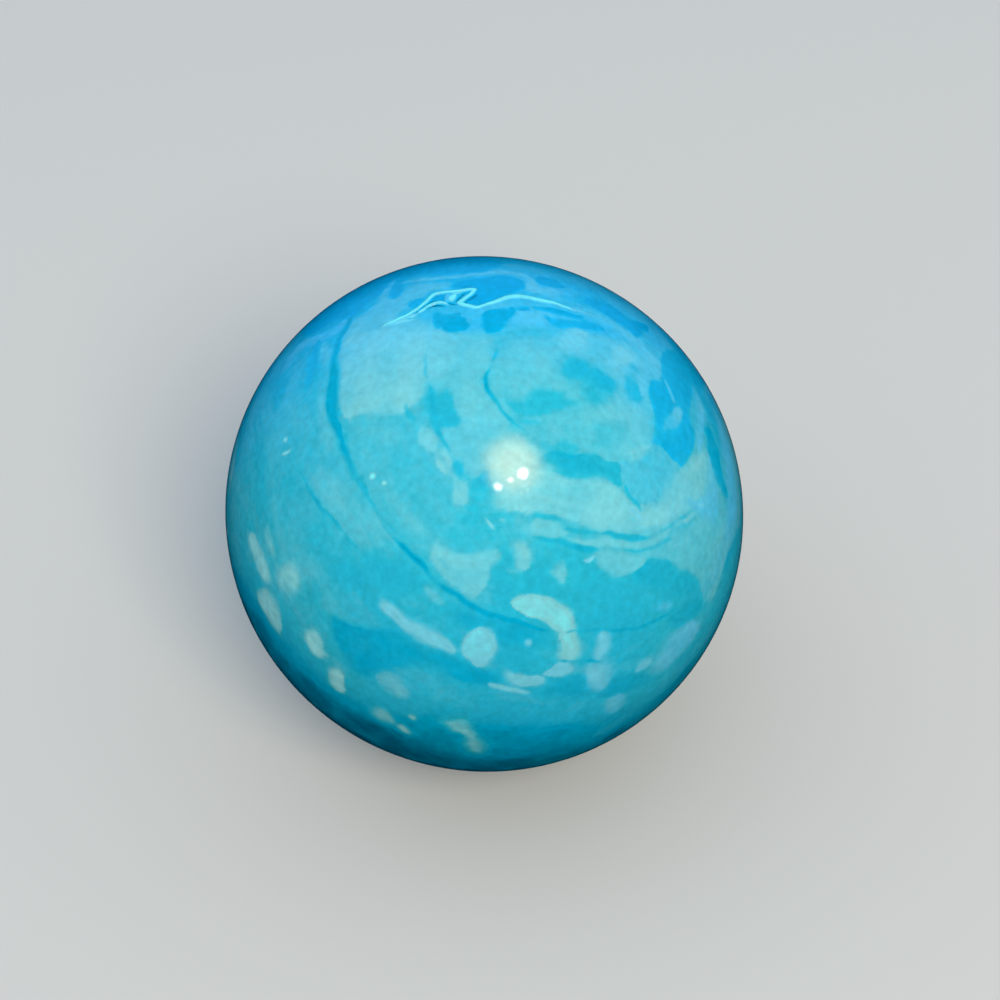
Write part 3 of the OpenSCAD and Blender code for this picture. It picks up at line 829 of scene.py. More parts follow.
def draw_low_marks(ink):
    """The hook, blobs and dashes of milk glass low on the face."""
    ink.patch(1.55, [
        (1.18, -3.85), (1.5, -3.6), (2.1, -3.53), (2.8, -3.66), (3.3, -3.93), (3.7, -4.4), (3.86, -4.9),
        (3.94, -5.4), (4.08, -5.9), (4.04, -6.3), (3.75, -6.4), (3.46, -6.22), (3.38, -5.7), (3.2, -5.2),
        (2.87, -4.88), (2.4, -4.52), (1.9, -4.45), (1.45, -4.22)], soft=0.32, azure=-0.1)
    ink.streak(-0.1, [0.05, 0.12, 0.12, 0.06], [
        (2.7, -5.12), (3.2, -5.18), (3.6, -5.2), (4.2, -5.2)], soft=0.1)
    ink.patch(1.2, [
        (2.5, -7.05), (2.9, -6.8), (3.3, -6.5), (3.75, -6.45), (3.95, -6.7), (3.75, -7.0), (3.3, -7.15),
        (2.85, -7.17)], soft=0.3, azure=0.45)
    ink.patch(1.45, [
        (0.76, -7.0), (1.2, -7.05), (1.7, -7.12), (2.3, -7.12), (2.64, -7.28), (2.5, -7.5), (2.0, -7.66),
        (1.4, -7.6), (1.0, -7.34)], soft=0.32, azure=0.35)
    ink.streak(1.45, [0.2, 0.28, 0.3, 0.26, 0.12], [
        (0.2, -7.5), (0.55, -7.66), (0.95, -7.78), (1.45, -7.86), (1.95, -7.95)], soft=0.2, azure=0.4)
    ink.patch(1.6, [
        (-0.98, -5.75), (-0.8, -5.25), (-0.4, -4.95), (0.05, -5.02), (0.38, -5.35), (0.44, -5.85),
        (0.26, -6.25), (-0.02, -6.6), (-0.4, -6.6), (-0.72, -6.34), (-0.92, -6.1)], soft=0.34, azure=0.3)
    ink.streak(1.4, [0.34, 0.56, 0.5, 0.64, 0.72, 0.58, 0.34], [
        (-4.45, -3.95), (-4.08, -4.22), (-3.62, -4.66), (-3.08, -5.04), (-2.48, -5.34), (-1.9, -5.64),
        (-1.42, -5.92)], soft=0.36, azure=0.35)
    ink.streak(0.9, 0.33, [(1.8, -5.57), (1.84, -5.57)], soft=0.22, azure=0.5)
    ink.patch(1.25, [
        (4.92, -5.4), (5.1, -5.22), (5.34, -5.3), (5.38, -5.7), (5.26, -6.3), (4.97, -6.5), (4.8, -6.3),
        (4.9, -5.85)], soft=0.34, azure=0.5)
    ink.patch(1.1, [
        (4.48, -6.95), (4.8, -6.78), (5.2, -6.8), (5.55, -6.95), (5.66, -7.4), (5.42, -7.8), (5.05, -7.96),
        (4.65, -7.8), (4.46, -7.4)], soft=0.46, azure=0.5)
    ink.streak(-0.9, [0.05, 0.12, 0.13, 0.04], [
        (3.2, -6.38), (4.0, -6.45), (4.7, -6.57), (5.4, -6.67)], soft=0.1)
    ink.patch(0.7, [
        (5.5, -8.45), (5.95, -8.15), (6.36, -8.25), (6.32, -8.75), (5.9, -9.12),
        (5.45, -9.05)], soft=0.55, azure=0.4)
    ink.patch(0.62, [
        (8.2, -5.8), (8.7, -5.3), (9.3, -4.95), (9.75, -5.1), (9.6, -5.7), (9.1, -6.3), (8.62, -6.7),
        (8.35, -7.05), (7.9, -7.22), (7.62, -7.05), (7.85, -6.6), (8.1, -6.2)], soft=0.6, azure=0.5)
    ink.streak(0.75, [0.1, 0.35, 0.2], [(8.9, -5.5), (9.25, -5.22), (9.55, -5.08)], soft=0.3, azure=0.6)
    ink.patch(0.8, [
        (6.76, -7.1), (7.0, -6.72), (7.36, -6.6), (7.46, -6.85), (7.15, -7.08)], soft=0.28, azure=0.45)
    ink.patch(0.36, [
        (7.4, -4.15), (7.9, -3.98), (8.45, -4.02), (8.1, -4.32), (7.7, -4.35)], soft=0.34, azure=0.4)
    ink.streak(0.4, [0.15, 0.34, 0.32, 0.1], [
        (-2.5, -3.2), (-2.3, -3.45), (-2.05, -3.7), (-1.8, -3.95)], soft=0.24)
    ink.patch(0.75, [
        (-4.9, -7.2), (-4.4, -7.0), (-3.95, -7.35), (-3.5, -8.0), (-3.9, -8.2), (-4.5, -7.85)], soft=0.45)


def draw_left_blobs(ink):
    """The creamier blobs near the lower left edge."""
    cream = -0.9
    ink.patch(0.85, [
        (-10.8, -0.8), (-10.5, -0.78), (-10.25, -1.4), (-9.95, -2.0), (-9.75, -2.7), (-9.95, -3.0),
        (-10.35, -2.6), (-10.65, -1.8)], soft=0.4, azure=cream)
    ink.streak(0.5, [0.3, 0.45, 0.45, 0.3], [
        (-9.8, -0.5), (-9.75, -1.0), (-9.6, -1.5), (-9.5, -2.0)], soft=0.45, azure=cream)
    ink.patch(0.7, [
        (-9.35, -2.8), (-9.1, -2.35), (-8.6, -2.25), (-8.25, -2.6), (-8.25, -3.15), (-8.65, -3.45),
        (-9.15, -3.3)], soft=0.45, azure=cream)
    ink.patch(0.88, [
        (-10.5, -3.35), (-10.0, -3.3), (-9.6, -3.9), (-9.3, -4.7), (-9.38, -5.5), (-9.75, -5.2),
        (-10.15, -4.6), (-10.48, -3.9)], soft=0.4, azure=cream)
    ink.patch(1.0, [
        (-8.16, -5.6), (-8.0, -5.25), (-7.7, -5.16), (-7.44, -5.45), (-7.3, -5.95), (-7.36, -6.4),
        (-7.62, -6.42), (-8.0, -6.1)], soft=0.36, azure=cream)
    ink.patch(1.0, [
        (-7.26, -7.2), (-7.0, -6.95), (-6.65, -6.98), (-6.4, -7.35), (-6.42, -7.85), (-6.55, -8.2),
        (-6.9, -8.08), (-7.2, -7.75)], soft=0.38, azure=cream)
    ink.patch(1.3, [
        (-5.4, -9.02), (-4.88, -8.76), (-4.38, -9.04), (-4.1, -9.54), (-4.6, -9.6),
        (-5.05, -9.42)], soft=0.42, azure=-0.4)
    ink.patch(1.0, [
        (-4.1, -9.65), (-3.75, -9.6), (-3.4, -9.88), (-3.35, -10.12), (-3.7, -10.1),
        (-4.0, -9.9)], soft=0.45, azure=-0.4)
    ink.patch(1.0, [
        (-3.52, -9.12), (-3.32, -9.02), (-3.1, -9.16), (-3.12, -9.4),
        (-3.34, -9.34)], soft=0.25, azure=cream)
    ink.patch(0.92, [
        (-2.05, -9.4), (-1.5, -9.2), (-0.95, -9.22), (-0.6, -9.6), (-0.38, -10.1), (-0.08, -10.5),
        (-0.1, -10.95), (-0.5, -11.1), (-0.92, -10.85), (-1.0, -10.4), (-1.05, -10.0),
        (-1.6, -9.85)], soft=0.6, azure=-0.4)
    ink.streak(0.9, [0.2, 0.5, 0.5, 0.2], [
        (-11.65, 3.6), (-11.75, 2.7), (-11.9, 1.9), (-12.0, 1.2)], soft=0.5, azure=-0.7)


def draw_painted_glints(ink):
    """Painted glints: tiny bright spots that stand in for the lamps' reflections, with no pits in the
    glass under them, and pale painted specks round the bulbs' highlight.
    """
    # Painted glints, as bright as the fold's lip.
    for size, place in ((0.18, (-8.9, 3.42)), (0.23, (-4.85, 1.7)), (0.19, (-4.3, 1.36)),
                        (0.2, (-12.2, -0.75))):
        ink.spot(1.95, size, place, 0.12)
    ink.streak(1.95, [0.1, 0.16, 0.1], [(-8.98, 2.74), (-8.85, 2.8), (-8.7, 2.9)], soft=0.1)
    # Painted glints round the bulbs' highlight, in creamy milk.
    for size, place in ((0.18, (1.28, 1.3)), (0.16, (1.5, 1.2)), (0.2, (1.78, 1.32)), (0.15, (1.1, 0.95)),
                        (0.14, (1.45, 0.85)), (0.16, (1.75, 1.0))):
        ink.spot(1.15, size, place, 0.12, azure=-0.4)


def draw_fold(ink):
    """The cold fold near the crown: a bright lip of glass that doubles back on itself. The lip's
    brightness is partly a painted highlight, and the dark lines along it are painted shade in its grooves.
    """
    lip = 1.95
    # Pale streaks along the lip, partly a painted highlight.
    ink.streak(1.0, [0.1, 0.3, 0.34, 0.3, 0.1], [
        (-4.6, 8.4), (-4.1, 8.6), (-3.7, 8.72), (-3.3, 8.85), (-3.0, 9.0)], soft=0.2, azure=0.6)
    ink.streak(lip, [0.06, 0.2, 0.22, 0.16], [
        (-4.5, 8.44), (-4.15, 8.6), (-3.8, 8.78), (-3.45, 8.92)], soft=0.1)
    ink.streak(1.6, [0.04, 0.11, 0.12, 0.05], [
        (-3.75, 8.74), (-3.45, 8.8), (-3.2, 8.84), (-2.95, 8.98)], soft=0.08)
    ink.streak(1.3, [0.03, 0.08, 0.08, 0.03], [
        (-3.9, 8.58), (-3.55, 8.66), (-3.2, 8.72), (-2.9, 8.86)], soft=0.08)
    # Painted shade in and under the fold's grooves.
    ink.streak(-1.9, [0.03, 0.07, 0.09, 0.06], [
        (-3.5, 8.98), (-3.25, 9.04), (-3.0, 9.1), (-2.8, 9.12)], soft=0.07)
    ink.streak(-1.5, [0.02, 0.05, 0.05, 0.02], [
        (-3.55, 8.73), (-3.35, 8.75), (-3.15, 8.78), (-3.0, 8.84)], soft=0.06)
    ink.patch(-1.2, [
        (-2.35, 9.66), (-2.15, 9.93), (-1.75, 9.96), (-1.7, 9.75), (-1.75, 9.55),
        (-2.05, 9.6)], soft=0.12, azure=0.9)
    ink.patch(0.45, [
        (-1.75, 9.6), (-1.7, 9.95), (-1.3, 10.0), (-1.45, 9.8), (-1.5, 9.55)], soft=0.12, azure=0.9)
    # More painted shade in the fold's grooves.
    ink.streak(-2.1, [0.03, 0.13, 0.13, 0.11, 0.04], [
        (-2.88, 9.2), (-2.6, 9.4), (-2.4, 9.56), (-2.2, 9.62), (-2.0, 9.62)], soft=0.07)
    ink.streak(-2.4, [0.03, 0.14, 0.14, 0.12, 0.04], [
        (-2.82, 9.1), (-2.55, 9.24), (-2.3, 9.34), (-2.0, 9.37), (-1.7, 9.31)], soft=0.07)
    ink.streak(-1.9, [0.04, 0.13, 0.14, 0.11, 0.04], [
        (-0.72, 10.08), (-0.85, 9.95), (-1.0, 9.8), (-1.12, 9.66), (-1.22, 9.56)], soft=0.07)
    ink.streak(-2.0, [0.03, 0.13, 0.16, 0.11, 0.03], [
        (-0.24, 10.02), (-0.4, 9.84), (-0.6, 9.68), (-0.82, 9.54), (-0.6, 9.48)], soft=0.08)
    ink.streak(-2.0, [0.03, 0.09, 0.09, 0.03], [
        (-1.62, 9.5), (-1.46, 9.47), (-1.3, 9.44), (-1.15, 9.42)], soft=0.07)
    ink.streak(-1.8, [0.03, 0.07, 0.07, 0.03], [
        (-1.62, 9.96), (-1.4, 9.94), (-1.2, 9.96), (-1.05, 9.98)], soft=0.06)
    # The lip itself, pale glass brightened as a painted highlight.
    ink.streak(lip, [0.1, 0.15, 0.17, 0.19, 0.2, 0.2, 0.2, 0.22, 0.24, 0.24, 0.2], [
        (-3.6, 8.87), (-3.4, 8.95), (-3.1, 9.13), (-2.84, 9.33), (-2.55, 9.62), (-2.28, 9.92),
        (-2.05, 10.02), (-1.5, 10.08), (-1.0, 10.14), (-0.6, 10.2), (-0.4, 10.2)], soft=0.08)
    ink.streak(lip, [0.24, 0.2, 0.2, 0.2, 0.2, 0.2, 0.2], [
        (-0.4, 10.18), (-0.5, 9.97), (-0.71, 9.78), (-0.93, 9.6), (-1.06, 9.49), (-0.93, 9.42),
        (-0.6, 9.35)], soft=0.08)
    ink.streak(lip, [0.2, 0.19, 0.18, 0.2, 0.22, 0.25, 0.28, 0.3, 0.28, 0.26, 0.2, 0.14, 0.05], [
        (-0.6, 9.35), (-0.25, 9.27), (0.05, 9.36), (0.36, 9.48), (0.71, 9.64), (1.05, 9.77), (1.4, 9.84),
        (1.75, 9.85), (2.2, 9.79), (2.7, 9.68), (3.2, 9.58), (3.6, 9.44), (4.2, 9.22)], soft=0.1)
    ink.streak(lip, [0.05, 0.16, 0.18, 0.18, 0.16, 0.05], [
        (-2.9, 9.03), (-2.66, 9.18), (-2.42, 9.38), (-2.15, 9.5), (-1.85, 9.5), (-1.56, 9.42)], soft=0.08)
    ink.patch(lip, [(-1.56, 9.66), (-1.4, 9.86), (-1.17, 9.92), (-1.22, 9.72), (-1.36, 9.56)], soft=0.1)
    ink.streak(lip - 0.35, [0.05, 0.12, 0.12, 0.08], [
        (-1.5, 10.0), (-1.3, 9.95), (-1.1, 10.0), (-0.95, 10.06)], soft=0.07)


def draw_face(ink):
    """Everything on the marble's face, from the broadest glass to the smallest speck."""
    for draw in (draw_ground, draw_crown, draw_left_fields, draw_right_side, draw_eye, draw_sweep,
                 draw_middle, draw_band, draw_low_fields, draw_low_marks, draw_left_blobs,
                 draw_painted_glints, draw_fold):
        draw(ink)


# ---------------------------------------------------------------- marks round the ball

EYE = lift([EYE_ON_SHEET])[0]
EYE_SIDE = np.cross(EYE, FRONT[2])
EYE_SIDE /= np.linalg.norm(EYE_SIDE)
EYE_TOP = np.cross(EYE_SIDE, EYE)


def round_eye(angle, turn):
    """Unit directions at an angle from the middle of the eye, turned about it."""
    angle, turn = np.broadcast_arrays(angle, turn)
    ring = np.cos(turn)[..., None] * EYE_SIDE + np.sin(turn)[..., None] * EYE_TOP
    return np.cos(angle)[..., None] * EYE + np.sin(angle)[..., None] * ring


def place_round_eye(out):
    """The angle of a unit direction from the middle of the eye, and its turn about it."""
    return math.acos(out @ EYE), math.atan2(out @ EYE_TOP, out @ EYE_SIDE)


def swirl_sheet(out):
    """A sheet held against the ball in a direction, with its right along the swirl."""
    right = np.cross(EYE, out)
    right /= np.linalg.norm(right)
    return right, np.cross(out, right), out


def draw_trails(ink):
    """Fields and lines that run from the edge of the face on round the ball."""
    along = np.linspace(0, 1, 9)
    for tone, azure, width, start, degrees, drift in (
        (-0.75, 0.2, (0.3, 1.3, 1.0, 0.5, 0.2), (9.3, -4.0), 75, 6),
        (0.5, 0.1, (0.8, 2.4, 2.6, 1.6, 0.4), (10.6, -2.2), 70, 4),
        (-0.8, 0.7, (0.5, 1.6, 1.8, 1.0, 0.4), (10.2, 6.0), 80, 10),
        (0.55, 0.6, (0.3, 1.0, 1.4, 0.9, 0.3), (8.2, 8.9), 75, 14),
        (-0.9, 0.9, (0.6, 1.5, 1.2, 0.8, 0.3), (-6.4, 10.0), -60, 6),
        (0.35, 0.4, (0.3, 0.9, 1.2, 0.8, 0.3), (-9.6, 7.4), -55, -4),
        (-0.6, 0.2, (0.4, 1.6, 1.4, 0.8, 0.3), (-11.4, 2.6), -50, 8),
        (-0.7, 0.0, (0.4, 1.4, 1.8, 1.0, 0.3), (7.6, -8.9), 60, -8),
        (0.6, -0.5, (0.3, 0.7, 0.8, 0.5, 0.2), (0.6, -11.6), 35, 5),
    ):
        angle, turn = place_round_eye(lift([start])[0])
        line = round_eye(angle + np.radians(drift) * along, turn - np.radians(degrees) * along)
        widths = np.interp(along, np.linspace(0, 1, len(width)), width)
        ink.trail(tone, widths, line, 0.5, azure)


def draw_hidden(ink, seed):
    """Swirls of the same kind where the face doesn't reach: fields, arcs, dashes, hooks and spots."""
    draw = np.random.default_rng(seed)

    def somewhere():
        """A sheet anywhere on the ball."""
        out = draw.normal(size=3)
        return swirl_sheet(out / np.linalg.norm(out))

    def clear_of_face(line):
        """Whether a line of unit directions stays off the face."""
        return (line @ FRONT[2]).max() < FACE_EDGE

    def hidden_sheet(points):
        """A sheet on which the points stay off the face."""
        face = somewhere()
        while not clear_of_face(lift(points, face)):
            face = somewhere()
        return face

    def patch(tone, size, stretch, soft, azure, corners=11):
        """A patch drawn out along the swirl, a little bent, with an uneven edge."""
        turns = np.arange(corners) * 2 * math.pi / corners
        while True:
            face = somewhere()
            reach = size * draw.uniform(0.78, 1.22, corners)
            across = reach * stretch * np.cos(turns)
            bend = draw.uniform(-0.35, 0.35) * across ** 2 / (size * stretch)
            outline = np.column_stack([across, reach * np.sin(turns) + bend])
            if clear_of_face(lift(outline, face)):
                break
        ink.patch(tone, outline, soft, azure=azure, face=face)

    def arc(width, tone, soft, azure, points=12):
        """A streak that runs round the eye, closing in or opening out a little."""
        while True:
            angle, turn = place_round_eye(somewhere()[2])
            extent = math.radians(draw.uniform(45, 120)) / max(math.sin(angle), 0.45)
            run = np.linspace(-0.5, 0.5, points) * extent
            waver = 0.04 * np.sin(draw.uniform(1.5, 3.0) * run + draw.uniform(0, 6))
            line = round_eye(angle + draw.uniform(-0.22, 0.22) * run + waver, turn + run)
            if clear_of_face(line):
                break
        swell = np.sin(np.linspace(0.04, 0.96, points) * math.pi)
        ink.trail(tone, width * swell * draw.uniform(0.7, 1.25, points), line, soft, azure)

    for tone in np.tile([-0.8, 0.45, -0.35, 0.7, 0.2, 0.5], 5):
        patch(tone, draw.uniform(0.9, 2.1), draw.uniform(1.5, 3.0), draw.uniform(0.4, 1.0),
              draw.uniform(-0.3, 0.75))
    for tone in np.tile([-0.8, 0.55, -0.5, 0.8], 7):
        arc(draw.uniform(0.4, 1.3), tone, draw.uniform(0.25, 0.6), draw.uniform(-0.2, 0.7))
    for tone in np.tile([-1.1, 0.8, -0.7], 9):
        arc(draw.uniform(0.12, 0.32), tone, 0.16, None)
    for _ in range(26):
        patch(draw.uniform(0.6, 0.95), draw.uniform(0.28, 0.7), draw.uniform(1.0, 2.6),
              draw.uniform(0.2, 0.4), draw.uniform(-0.6, 0.4))
    for _ in range(6):
        patch(-0.9, draw.uniform(0.4, 0.9), draw.uniform(1.0, 2.0), draw.uniform(0.15, 0.3),
              draw.uniform(0, 0.7))
    for _ in range(5):
        bend = draw.uniform(0.7, 1.6)
        way = draw.choice([-1, 1])
        hook = [(-1.4 * bend, 0.1), (-0.5 * bend, 0.35 * bend * way), (0.4 * bend, 0.2 * bend * way),
                (0.9 * bend, -0.4 * bend * way), (1.0 * bend, -1.1 * bend * way)]
        ink.streak(0.85, np.array([0.3, 0.5, 0.6, 0.6, 0.35]) * bend, hook, 0.25, face=hidden_sheet(hook))
    for _ in range(8):
        face = hidden_sheet([(0, 0)])
        ink.spot(draw.choice([0.4, 1.6]), draw.uniform(0.18, 0.34), (0, 0), 0.15, face=face)


# ---------------------------------------------------------------- painting

def smooth_noise(spots, size, seed):
    """A smooth random value at each spot, about -1 to 1: a sum of sine waves of about that size."""
    draw = np.random.default_rng(seed)
    heading = draw.normal(size=(NOISE_WAVES, 3))
    heading /= np.linalg.norm(heading, axis=1)[:, None]
    pitch = 2 * math.pi / (size * draw.uniform(*WAVE_SIZES, NOISE_WAVES))
    start = draw.uniform(0, 2 * math.pi, NOISE_WAVES)
    return np.sin(spots @ (heading * pitch[:, None]).T + start).sum(1) / math.sqrt(NOISE_WAVES)


def noise(spots, kind):
    """Smooth noise of a kind, which is its amount, its size and its seed, at each spot."""
    amount, size, seed = kind
    return amount * smooth_noise(spots, size, seed)


def wander(spots, kind):
    """The spots, each moved a little way by smooth noise, so that drawn edges waver as in glass."""
    amount, size, seed = kind
    return spots + np.stack([noise(spots, (amount, size, seed + k)) for k in range(3)], 1)


def swirl_run(places):
    """Distance round the ball from the middle of the eye, in millimetres, bent off true circles."""
    spots = places * RADIUS_MM
    angle = np.arccos(np.clip(places @ EYE, -1, 1))
    return RADIUS_MM * angle + noise(spots, SWIRL_BEND) + noise(spots, SWIRL_WAVER)


def ground_azure(places):
    """Azure of the bare glass: most at the crown, some at the sides and below, and less behind. The rise
    towards the crown is partly a painted tint of cool light from above.
    """
    across, up, out = (places @ way for way in FRONT)
    (rise, less), (rise_aside, less_aside), (rise_below, less_below) = AZURE_UP, AZURE_ASIDE, AZURE_BELOW
    crown = rise * up - less + rise_aside * np.maximum(np.abs(across) - less_aside, 0)
    azure = np.maximum(crown, 0) + rise_below * np.maximum(-up - less_below, 0)
    azure *= AZURE_BEHIND + (1 - AZURE_BEHIND) * ease((out + 0.5) / 0.8)
    return np.clip(azure + noise(places * RADIUS_MM, GROUND_AZURE), 0, 1)


def paint(places, marks):
    """Tone and azure at each place, with the marks laid over the ground one after another."""
    spots = places * RADIUS_MM
    wavy = wander(wander(spots, WIDE_WAVER), FINE_WAVER)
    steady = wander(spots, SLIGHT_WAVER)
    softening = EDGE_SOFTENING * np.exp(noise(spots, EDGE_SPREAD))
    thinning = 1 - np.clip(noise(spots, THINNING), 0, THINNING[0])
    tone = noise(spots, GROUND_TONE)
    azure = ground_azure(places)
    for mark in marks:
        near = mark.nearby(places)
        if not len(near):
            continue
        if mark.tone > FOLD_TONE or mark.soft < FINE_EDGE:
            cover = mark.cover(steady[near])
        elif mark.thin:
            cover = mark.cover(wavy[near])
        else:
            cover = mark.cover(wavy[near], softening[near]) * thinning[near]
        tone[near] += cover * (mark.tone - tone[near])
        if mark.azure is not None:
            azure[near] += cover * (mark.azure - azure[near])
    return tone, azure


# ---------------------------------------------------------------- node trees

class Nodes:
    """A node tree, with short ways to add the nodes that the marble and its stage need."""

    def __init__(self, tree):
        self.tree = tree

    def set(self, socket, value):
        """Gives a socket a value, or a link from another node's output."""
        if isinstance(value, bpy.types.NodeSocket):
            self.tree.links.new(value, socket)
        elif socket.type == "RGBA":
            socket.default_value = (*value, 1.0)
        else:
            socket.default_value = value

    def add(self, kind, inputs=None, **settings):
        """A node with its settings, and with values or links for its inputs by name or number."""
        node = self.tree.nodes.new(kind)
        for name, setting in settings.items():
            setattr(node, name, setting)
        for key, value in (inputs or {}).items():
            self.set(node.inputs[key], value)
        return node

    def math(self, operation, *values):
        """The result of a sum on numbers."""
        return self.add("ShaderNodeMath", dict(enumerate(values)), operation=operation).outputs[0]

    def vector(self, operation, *values):
        """The result of a sum on vectors, which for a length or a dot product is a number."""
        node = self.add("ShaderNodeVectorMath", dict(enumerate(values)), operation=operation)
        return node.outputs["Value" if operation in ("LENGTH", "DOT_PRODUCT") else "Vector"]

    def scale(self, vector, amount):
        """A vector or colour times a number."""
        inputs = {"Vector": vector, "Scale": amount}
        return self.add("ShaderNodeVectorMath", inputs, operation="SCALE").outputs["Vector"]

    def spread(self, value, low, high, to_low=0.0, to_high=1.0, kind="LINEAR"):
        """A value taken from the range low to high onto the range to_low to to_high."""
        inputs = dict(enumerate((value, low, high, to_low, to_high)))
        return self.add("ShaderNodeMapRange", inputs, interpolation_type=kind).outputs[0]

    def blend(self, share, low, high):
        """Two colours mixed, from low at a share of 0 to high at 1."""
        return self.add("ShaderNodeMix", {0: share, 6: low, 7: high}, data_type="RGBA").outputs[2]

    def either(self, share, low, high):
        """Two shaders mixed, from low at a share of 0 to high at 1."""
        return self.add("ShaderNodeMixShader", {0: share, 1: low, 2: high}).outputs[0]

    def painted(self, name):
        """A value that was stored on the mesh for the material."""
        return self.add("ShaderNodeAttribute", attribute_name=name).outputs["Fac"]


def new_tree(name, inputs):
    """A geometry node tree: its nodes, the outputs of its named inputs, and the socket of its result."""
    tree = bpy.data.node_groups.new(name, "GeometryNodeTree")
    for label, kind in (("Geometry", "Geometry"), *inputs):
        tree.interface.new_socket(label, in_out="INPUT", socket_type="NodeSocket" + kind)
    tree.interface.new_socket("Geometry", in_out="OUTPUT", socket_type="NodeSocketGeometry")
    nodes = Nodes(tree)
    return nodes, nodes.add("NodeGroupInput").outputs, nodes.add("NodeGroupOutput").inputs[0]


def cast_in_glass(nodes, geometry, position, glass, result):
    """Ends a tree: moves the points, makes the geometry real and gives it the glass."""
    moved = nodes.add("GeometryNodeSetPosition", {"Geometry": geometry, "Position": position})
    real = nodes.add("GeometryNodeRealizeInstances", {0: moved.outputs[0]})
    clad = nodes.add("GeometryNodeSetMaterial", {"Geometry": real.outputs[0], "Material": glass})
    nodes.set(result, clad.outputs[0])
    return nodes.tree


def ball_tree():
    """A cube's grid blown up to a ball, with cells of nearly one size all over."""
    nodes, given, result = new_tree("Quad ball", [
        ("Radius", "Float"), ("Cells", "Int"), ("Glass", "Material")])
    points = nodes.math("ADD", given["Cells"], 1.0)
    cube = nodes.add("GeometryNodeMeshCube", {0: (2, 2, 2), 1: points, 2: points, 3: points})
    here = nodes.add("GeometryNodeInputPosition").outputs[0]
    even = nodes.vector("TANGENT", nodes.scale(here, math.pi / 4))
    place = nodes.scale(nodes.vector("NORMALIZE", even), given["Radius"])
    return cast_in_glass(nodes, cube.outputs[0], place, given["Glass"], result)


def skin_tree():
    """The true ball's skin let down to the real glass: out of round, rippled, with the fold's lips and
    grooves.
    """
    nodes, given, result = new_tree("Glass skin", [
        ("Radius", "Float"), ("Inset", "Float"), ("Out of round", "Float"), ("Flat direction", "Vector"),
        ("Ripple height", "Float"), ("Ripple size", "Float"), ("Glass", "Material")])
    here = nodes.add("GeometryNodeInputPosition").outputs[0]
    ray = nodes.vector("NORMALIZE", here)
    facing = nodes.vector("DOT_PRODUCT", ray, given["Flat direction"])
    share = nodes.math("MULTIPLY", nodes.math("MULTIPLY", facing, facing), given["Out of round"])
    flat = nodes.math("MULTIPLY", share, given["Radius"])
    pace = nodes.math("DIVIDE", 1.0, given["Ripple size"])
    peel = nodes.add("ShaderNodeTexNoise", {"Detail": 1.0, "Scale": pace, "Vector": here}).outputs[0]
    ripple = nodes.math("MULTIPLY", nodes.math("SUBTRACT", peel, 0.5), given["Ripple height"])
    relief = nodes.add("GeometryNodeInputNamedAttribute", {"Name": "relief"}, data_type="FLOAT")
    height = nodes.math("SUBTRACT", given["Radius"], given["Inset"])
    height = nodes.math("SUBTRACT", height, flat)
    height = nodes.math("ADD", height, ripple)
    height = nodes.math("ADD", height, relief.outputs["Attribute"])
    return cast_in_glass(nodes, given["Geometry"], nodes.scale(ray, height), given["Glass"], result)


def run_tree(mesh, tree, values):
    """The mesh that a geometry node tree makes from mesh, with its inputs set by name."""
    carrier = bpy.data.objects.new("carrier", mesh)
    bpy.context.scene.collection.objects.link(carrier)
    modifier = carrier.modifiers.new("Nodes", "NODES")
    modifier.node_group = tree
    for item in tree.interface.items_tree:
        if item.in_out == "INPUT" and item.name in values:
            modifier[item.identifier] = values[item.name]
    bpy.context.view_layer.update()
    evaluated = carrier.evaluated_get(bpy.context.evaluated_depsgraph_get())
    made = bpy.data.meshes.new_from_object(evaluated)
    bpy.data.objects.remove(carrier)
    return made


# ---------------------------------------------------------------- mesh

def directions(mesh):
    """Each vertex as a unit direction from the ball's centre."""
    places = np.empty(len(mesh.vertices) * 3, np.float32)
    mesh.vertices.foreach_get("co", places)
    places = places.reshape(-1, 3).astype(float)
    return places / np.linalg.norm(places, axis=1)[:, None]


def near_thin_marks(places, marks, within):
    """Which places lie within some millimetres of a streak that a coarse cell could miss."""
    spots = places * RADIUS_MM
    found = np.zeros(len(places), bool)
    for mark in marks:
        if mark.thin:
            near = mark.nearby(places)
            found[near] |= mark.depth_inside(spots[near])[0] > -within
    return found


def tone_change(mesh, marks, within):
    """How much the tone changes across each face, and 1 more within some millimetres of a thin streak."""
    places = directions(mesh)
    tone, _ = paint(places, marks)
    corners = np.zeros(len(mesh.polygons), int)
    mesh.polygons.foreach_get("loop_total", corners)
    starts = np.cumsum(corners) - corners
    loops = np.zeros(len(mesh.loops), int)
    mesh.loops.foreach_get("vertex_index", loops)
    change = np.maximum.reduceat(tone[loops], starts) - np.minimum.reduceat(tone[loops], starts)
    close = near_thin_marks(places, marks, within)
    change[np.logical_or.reduceat(close[loops], starts)] += 1.0
    change[corners != 4] = 0
    return change


def refine(mesh, marks, least, most, within):
    """Splits in four the cells across which the tone changes by more than least, up to most cells."""
    change = tone_change(mesh, marks, within)
    order = np.argsort(-change)[:most]
    chosen = set(order[change[order] > least].tolist())
    grid = bmesh.new()
    grid.from_mesh(mesh)
    edges = [e for e in grid.edges if any(f.index in chosen for f in e.link_faces)]
    bmesh.ops.subdivide_edges(grid, edges=edges, cuts=1, use_grid_fill=True)
    for vertex in grid.verts:
        vertex.co = vertex.co.normalized() * RADIUS
    grid.to_mesh(mesh)
    grid.free()


def split_many_sided(mesh):
    """Cuts the faces with more than four corners, left beside finer cells, into triangles."""
    grid = bmesh.new()
    grid.from_mesh(mesh)
    bmesh.ops.triangulate(grid, faces=[f for f in grid.faces if len(f.verts) > 4])
    grid.to_mesh(mesh)
    grid.free()


def store(mesh, name, values):
    """Keeps one value for each vertex under a name."""
    kept = mesh.attributes.new(name, "FLOAT", "POINT")
    kept.data.foreach_set("value", np.asarray(values, np.float32))


